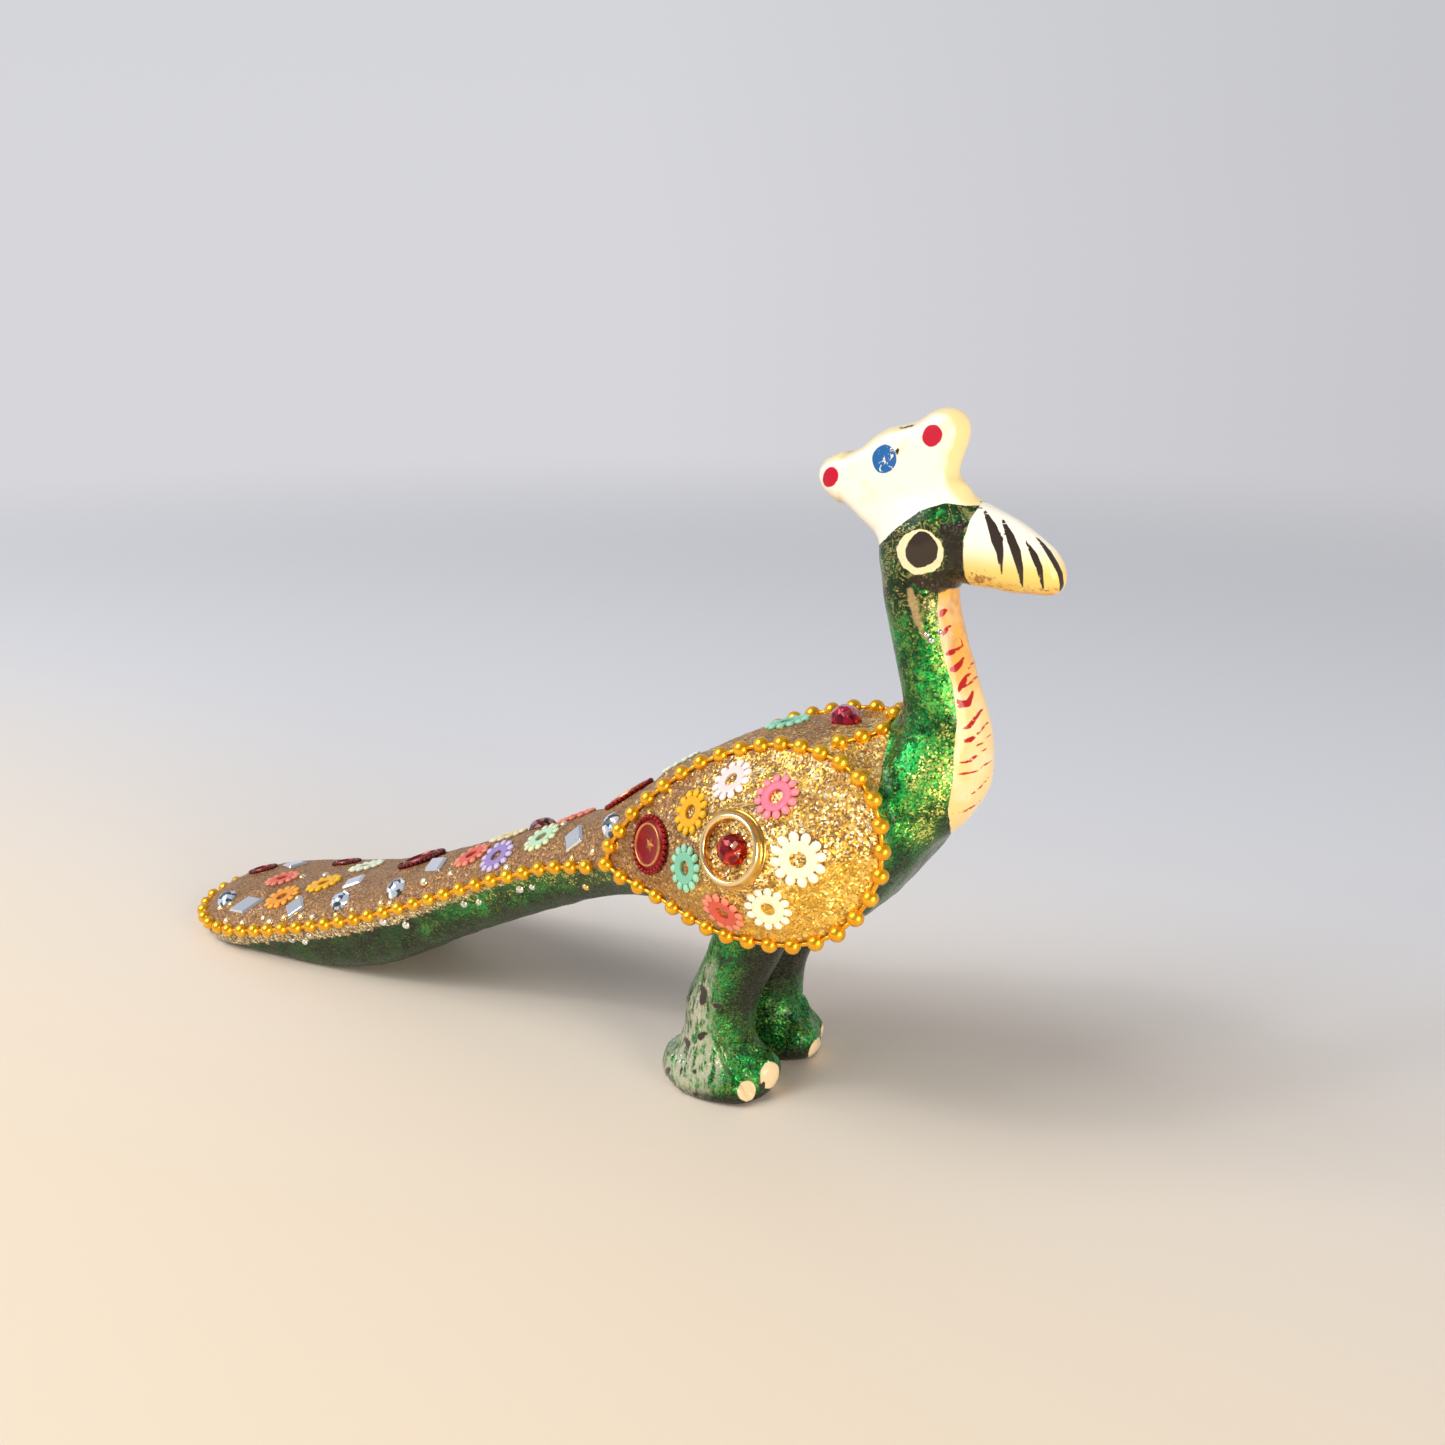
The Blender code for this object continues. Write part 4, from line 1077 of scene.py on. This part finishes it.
for node in nodes:
    if "flower" in node:
        colour_name = max((name for name in FLOWER_COLOURS if name in node), key=len)
        piece = seated(node, "_plastic", [disc, petal], FLOWER_RADIUS, MM)
        stands_for(piece, node, flower_paints[colour_name])

# Round sequins: dark red moulded cups with a rim of tiny beads, a raised ring and a small star in the middle.
# The star is painted gold, as a painted glint.
CUP_RADIUS = 3.65
CUP_DISC = 3.15
CUP_HEIGHT = 0.45
CUP_BEADS = 30
CUP_BEAD_RADIUS = 0.36
STAR_POINTS = 5

cup = blank("cup_pattern", 40, CUP_DISC, CUP_HEIGHT)
pick(cup, "FACE", is_top)
step_in([(0.45, 0.12), (0.12, 0.3), (0.18, 0), (0.14, -0.28), (0.8, -0.18), (0.8, -0.02)])
in_object_mode()
round_off(cup, 0.05)
cup_x, cup_y, cup_z = points_of(cup.data).T
marked(cup, "gilt", (cup_z > 0.78) & (np.hypot(cup_x, cup_y) > 2))
bpy.ops.mesh.primitive_uv_sphere_add(
    segments=8, ring_count=6, radius=CUP_BEAD_RADIUS, location=(CUP_RADIUS - CUP_BEAD_RADIUS, 0, 0.4)
)
cup_bead = modelled("cup_bead_pattern")
spun_round(cup_bead, CUP_BEADS)
marked(cup_bead, "gilt", 0)
bpy.ops.mesh.primitive_cone_add(vertices=2 * STAR_POINTS, radius1=1.25, depth=0.4, location=(0, 0, 0.5))
star = modelled("cup_star_pattern")
pick(star, "VERT", lambda point: point.index < 2 * STAR_POINTS and point.index % 2 == 0)
bpy.ops.transform.resize(value=(0.4, 0.4, 1), center_override=(0, 0, 0))
in_object_mode()
# Painted glint: the star is coloured gold.
marked(star, "gilt", 1)

cup_paints = {}
for tone, deep, bright, gilt in (
    ("red", (0.15, 0.001, 0.003), (0.42, 0.006, 0.006), (0.9, 0.42, 0.14)),
    ("maroon", (0.09, 0.003, 0.006), (0.2, 0.008, 0.012), (0.34, 0.07, 0.05)),
):
    p = Paint("cup_sequin_" + tone, Coat_Weight=0.14, Coat_Roughness=0.06, Specular_IOR_Level=0.3)
    at = p.in_mm()
    red = p.mix(p.noise(at, 1.2, 3.0, 0.6), deep, bright)
    red = p.mix(p.read("gilt") * 0.8, red, gilt)
    pitted = p.bump(0.2, 0.05, p.noise(at, 0.3, 2.0))
    shine = 0.45 + 0.4 * p.read("gilt")
    p.to(Base_Color=red, Metallic=shine, Roughness=0.2 + 0.15 * p.noise(at, 0.6), Normal=pitted)
    cup_paints[tone] = p

for node in nodes:
    if "cup_sequin" in node:
        paint = cup_paints["maroon" if node.startswith("tail") else "red"]
        stands_for(seated(node, "_red", [cup, cup_bead, star], CUP_RADIUS), node, paint)

# Finger rings in miniature: a polished gold-plated ring on each wing, with a sloping skirt outside.
RING_RADIUS = 4.55
RING_BASE = 0.2
RING_WIDTH = 1.24

ring_pattern = blank("ring_pattern", 56, RING_RADIUS, RING_BASE)
pick(ring_pattern, "FACE", is_top)
step_in([(0.12, 0.08), (0.26, 0.1), (0.03, 0.34), (0.07, 0.22), (0.14, 0.18)])
step_in([(0.18, 0.07), (0.18, -0.07), (0.14, -0.18), (0.07, -0.22), (0.03, -0.4)])
pick(ring_pattern, "FACE", lambda face: face.normal.z < -0.9)
bpy.ops.mesh.inset(thickness=RING_WIDTH)
pick(ring_pattern, "FACE", lambda face: len(face.vertices) > 8)
bpy.ops.mesh.bridge_edge_loops()
in_object_mode()
ring_pattern.data.shade_smooth()
marked(ring_pattern, "crest_height", points_of(ring_pattern.data)[:, 2])

ring_gold = p = Paint("ring_gold", Coat_Weight=0.6, Coat_Roughness=0.04)
at = p.in_mm()
gilding = p.mix(p.ramp(0.3, 0.7, p.noise(at, 1.5, 3.0, 0.6)), (0.62, 0.3, 0.03), (0.9, 0.52, 0.1))
# Painted highlight and shade: the ring is painted pale gold along its crest and deeper gold lower on its
# walls.
gilding = p.mix(p.ramp(0.85, 1.12, p.read("crest_height")), gilding, (1.0, 0.79, 0.38))
scuffs = p.bump(0.15, 0.05, p.noise(at, 0.6, 3.0, 0.6))
p.to(Base_Color=gilding, Metallic=0.95, Roughness=0.12 + 0.12 * p.noise(at, 0.8), Normal=scuffs)
for node in ("wing_ring_right", "wing_ring_left"):
    stands_for(seated(node, "_gilt", [ring_pattern], RING_RADIUS, MM), node, ring_gold)

# Cut stones: red and plum-coloured glass with foil behind, and clear rhinestones. All are cut in facets.
STONE_RADIUS = 2.0
RHINESTONE_RADIUS = 1.7
GIRDLE_HEIGHT = 0.3


def cut_stone(name, sides, radius, steps):
    """A stone cut from a blank: each row of facets is set in and turned half a facet on."""
    stone = blank(name, sides, radius, GIRDLE_HEIGHT)
    pick(stone, "FACE", is_top)
    for step in steps:
        step_in([step])
        bpy.ops.transform.rotate(value=math.pi / sides, orient_axis="Z", center_override=(0, 0, 0))
    bpy.ops.mesh.select_all(action="SELECT")
    bpy.ops.mesh.quads_convert_to_tris()
    in_object_mode()
    return stone


red_cut = cut_stone("red_stone_pattern", 9, STONE_RADIUS, [(0.3, 0.75), (0.5, 0.5), (0.5, 0.22)])
clear_cut = cut_stone("rhinestone_pattern", 8, RHINESTONE_RADIUS, [(0.3, 0.4), (0.42, 0.36), (0.4, 0.16)])
stone_paints = {}
# Painted reflections and glints: each facet is painted a random deep or bright tone, and a few facets pale.
for slot, deep, bright, glint, metallic in (
    ("stone_red", (0.2, 0.0, 0.004), (0.55, 0.02, 0.01), (0.95, 0.45, 0.3), 0.7),
    ("stone_plum", (0.2, 0.002, 0.012), (0.6, 0.01, 0.05), (0.95, 0.3, 0.35), 0.7),
    ("stone_garnet", (0.04, 0.004, 0.006), (0.16, 0.02, 0.016), (0.5, 0.2, 0.16), 0.6),
    ("rhinestone", (0.06, 0.065, 0.085), (0.55, 0.66, 0.82), (1.0, 1.0, 1.0), 0.35),
):
    p = Paint(slot + "_glass", Coat_Weight=0.55, Coat_Roughness=0.03, Metallic=metallic)
    facets = p.cells(p.in_mm(), 0.75)
    tone_1, tone_2, tone_3 = p.parts(facets)
    glass = p.mix(p.ramp(0.45, 0.6, tone_1), deep, bright)
    glass = p.mix(p.ramp(0.8, 0.84, tone_3), glass, glint)
    p.to(Base_Color=glass, Roughness=0.05 + 0.12 * tone_2, Normal=p.flaked(facets, 0.22))
    stone_paints[slot] = p

STONE_DEPTHS = {"back_stone": 1.15, "tail_stone": 0.75}
for node in nodes:
    if slots[node] in stone_paints:
        cut, radius = (clear_cut, RHINESTONE_RADIUS) if "rhinestone" in node else (red_cut, STONE_RADIUS)
        stone = seated(node, "_cut", [cut], radius, MM * STONE_DEPTHS.get(node, 1.0))
        stands_for(stone, node, stone_paints[slots[node]])

# Mirror chips: small squares and diamonds of thin mirror glass with ground edges.
mirror_glass = p = Paint("mirror_glass", Coat_Weight=0.3, Coat_Roughness=0.02)
tarnish = p.ramp(0.6, 0.75, p.noise(p.in_mm(), 0.9, 4.0, 0.7))
silver = p.mix(tarnish * 0.5, (0.8, 0.84, 0.9), (0.45, 0.42, 0.38))
p.to(Base_Color=silver, Metallic=0.95, Roughness=0.04 + 0.2 * tarnish)
for node in nodes:
    if "mirror" in node:
        chip = own_copy(node + "_glass", nodes[node].data)
        in_edit_mode(chip)
        bpy.ops.mesh.remove_doubles(threshold=MERGE_WITHIN)
        bpy.ops.mesh.tris_convert_to_quads()
        in_object_mode()
        round_off(chip, 0.06 * MM, angle=20, segments=1)
        chip.data.shade_flat()
        stands_for(chip, node, mirror_glass)

# Glints: tiny plated beads and mirror dots of about a millimetre, stuck in the paste and glue along the tail
# and at the ear. Each lies where a pixel of the photograph meets the skin.
GLINT_RADIUS = 0.66
GLINT_FLATNESS = 0.6
NECK_GLINTS_FROM = 50 * MM
NECK_GLINT_SIZE = 0.6
GOLD_GLINTS = [
    (207.5, 903), (220, 908), (231, 904), (226, 921), (242.5, 922.5), (263, 918), (270, 922), (283, 900),
    (297.5, 898), (284, 918), (301, 917), (312.5, 917), (302.5, 877), (326, 875), (336, 915), (352, 910),
    (266, 935), (381, 903), (390, 904), (424, 882.5), (450.5, 873.6), (507, 868), (572, 859), (593, 852),
    (564, 824), (586, 887),
]
SILVER_GLINTS = [
    (464, 904), (479, 902), (406, 925), (520, 889), (532, 887), (292, 940), (305, 942), (309, 935),
    (383, 922), (927, 635), (940, 632), (931.6, 640.5),
]
bpy.ops.mesh.primitive_uv_sphere_add(segments=8, ring_count=5, radius=GLINT_RADIUS)
glint = modelled("glint_pattern")
glint.data.shade_smooth()
dressed_skin = skin_of(cast.data)
dice = np.random.default_rng(11)
for tone, spots, deep, bright in (
    ("gold", GOLD_GLINTS, (0.95, 0.6, 0.12), (1.0, 0.93, 0.68)),
    ("silver", SILVER_GLINTS, (0.5, 0.52, 0.5), (0.95, 0.95, 0.9)),
):
    places = []
    for across, down in spots:
        hit, out, _, _ = dressed_skin.ray_cast(Vector(EYE_POINT), sight_line(across, down))
        if hit is None:
            continue
        spread = MM * dice.uniform(0.75, 1.1) * (NECK_GLINT_SIZE if hit.z > NECK_GLINTS_FROM else 1.0)
        shape = Matrix.Diagonal((spread, spread, GLINT_FLATNESS * spread, 1))
        places.append(Matrix.Translation(hit) @ turned_to(out) @ shape)
    p = Paint("glint_" + tone, Coat_Weight=0.5, Coat_Roughness=0.05)
    at = p.in_mm()
    plated = p.mix(p.ramp(0.35, 0.65, p.noise(at, 1.1, 2.0)), deep, bright)
    p.to(Base_Color=plated, Metallic=0.9, Roughness=0.12 + 0.2 * p.noise(at, 0.5))
    glints = laid_out("glints_" + tone, [glint], places)
    p.put_on(glints)
    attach(glints, "root")
for pattern in (bead, link, disc, petal, cup, cup_bead, star, ring_pattern, red_cut, clear_cut, glint):
    bpy.data.objects.remove(pattern)

# The floor is a plain pale sheet that fades into the pale room, painted warmer towards the front as painted
# sunlight. The light is that of a bright room: a big cool window up on the left with one brighter pane, and
# on the right a pale wall and a low warm patch of sun, which the wing and the breast reflect.
FLOOR_SIZE = 3.0
FLOOR_GREY = (0.74, 0.74, 0.755)
FLOOR_PAINTED_SUNLIGHT = (0.885, 0.735, 0.55)
ROOM_LOW = (0.66, 0.66, 0.69)
ROOM_MIDDLE = (0.64, 0.645, 0.68)
ROOM_HIGH = (0.42, 0.43, 0.48)
DAYLIGHT = (0.95, 0.97, 1.0)
WALL_LIGHT = (1.0, 0.97, 0.9)
SUNLIGHT = (1.0, 0.78, 0.45)

scene.view_settings.view_transform = "Standard"
bpy.ops.mesh.primitive_plane_add(size=FLOOR_SIZE, location=(0, 0, 0))
floor = modelled("floor")
p = Paint("pale_floor", Roughness=0.6, Specular_IOR_Level=0.25)
where = p.node("ShaderNodeTexCoord", out="Object")
far = p.vector("LENGTH", {0: where}, out="Value")
in_front = p.vector("DOT_PRODUCT", {0: where, 1: (0.05, -1, 0)}, out="Value")
# Painted sunlight: the sheet is warmer towards the front.
sheet = p.mix(p.ramp(-0.12, 0.08, in_front), FLOOR_GREY, FLOOR_PAINTED_SUNLIGHT)
p.to(Base_Color=sheet, Alpha=p.ramp(0.62, 0.27, far))
p.put_on(floor)

# The room is darker overhead, a little darker on the right, and darkest behind the camera.
room = Paint("pale_room", bpy.data.worlds, "Background")
scene.world = room.owner
direction = room.node("ShaderNodeTexCoord", out="Generated")
upward = room.node("ShaderNodeSeparateXYZ", None, {0: direction}, out="Z")
rightward = room.vector("DOT_PRODUCT", {0: direction, 1: view_right}, out="Value")
backward = room.vector("DOT_PRODUCT", {0: direction, 1: view_back}, out="Value")
haze = room.mix(room.ramp(0.0, 0.2, upward, "LINEAR"), ROOM_LOW, ROOM_MIDDLE)
haze = room.mix(room.ramp(0.2, 0.75, upward, "LINEAR"), haze, ROOM_HIGH)
dimming = 1.03 - 0.17 * room.ramp(-0.05, 0.45, rightward, "LINEAR")
room.to(Color=haze, Strength=dimming * (1 - 0.45 * room.ramp(-0.1, 0.7, backward)))


def add_light(name, place, aim, size, power, colour):
    data = bpy.data.lights.new(name, "AREA")
    data.size = size
    data.energy = power
    data.color = colour
    light = bpy.data.objects.new(name, data)
    scene.collection.objects.link(light)
    light.location = (FEET_X + place[0], place[1], place[2])
    way = Vector(aim) - Vector(place)
    light.rotation_euler = way.to_track_quat("-Z", "Y").to_euler()
    light.visible_camera = False


add_light("window", (-0.35, -0.4, 0.55), (0, 0, 0.03), 0.55, 4.2, DAYLIGHT)
add_light("window_pane", (-0.34, -0.39, 0.535), (0, 0, 0.03), 0.08, 0.45, DAYLIGHT)
add_light("pale_wall", (0.9, -0.29, 0.28), (0.02, 0, 0.05), 0.46, 3.9, WALL_LIGHT)
add_light("sun_patch", (0.84, -0.48, 0.055), (0.01, 0, 0.035), 0.31, 4.5, SUNLIGHT)
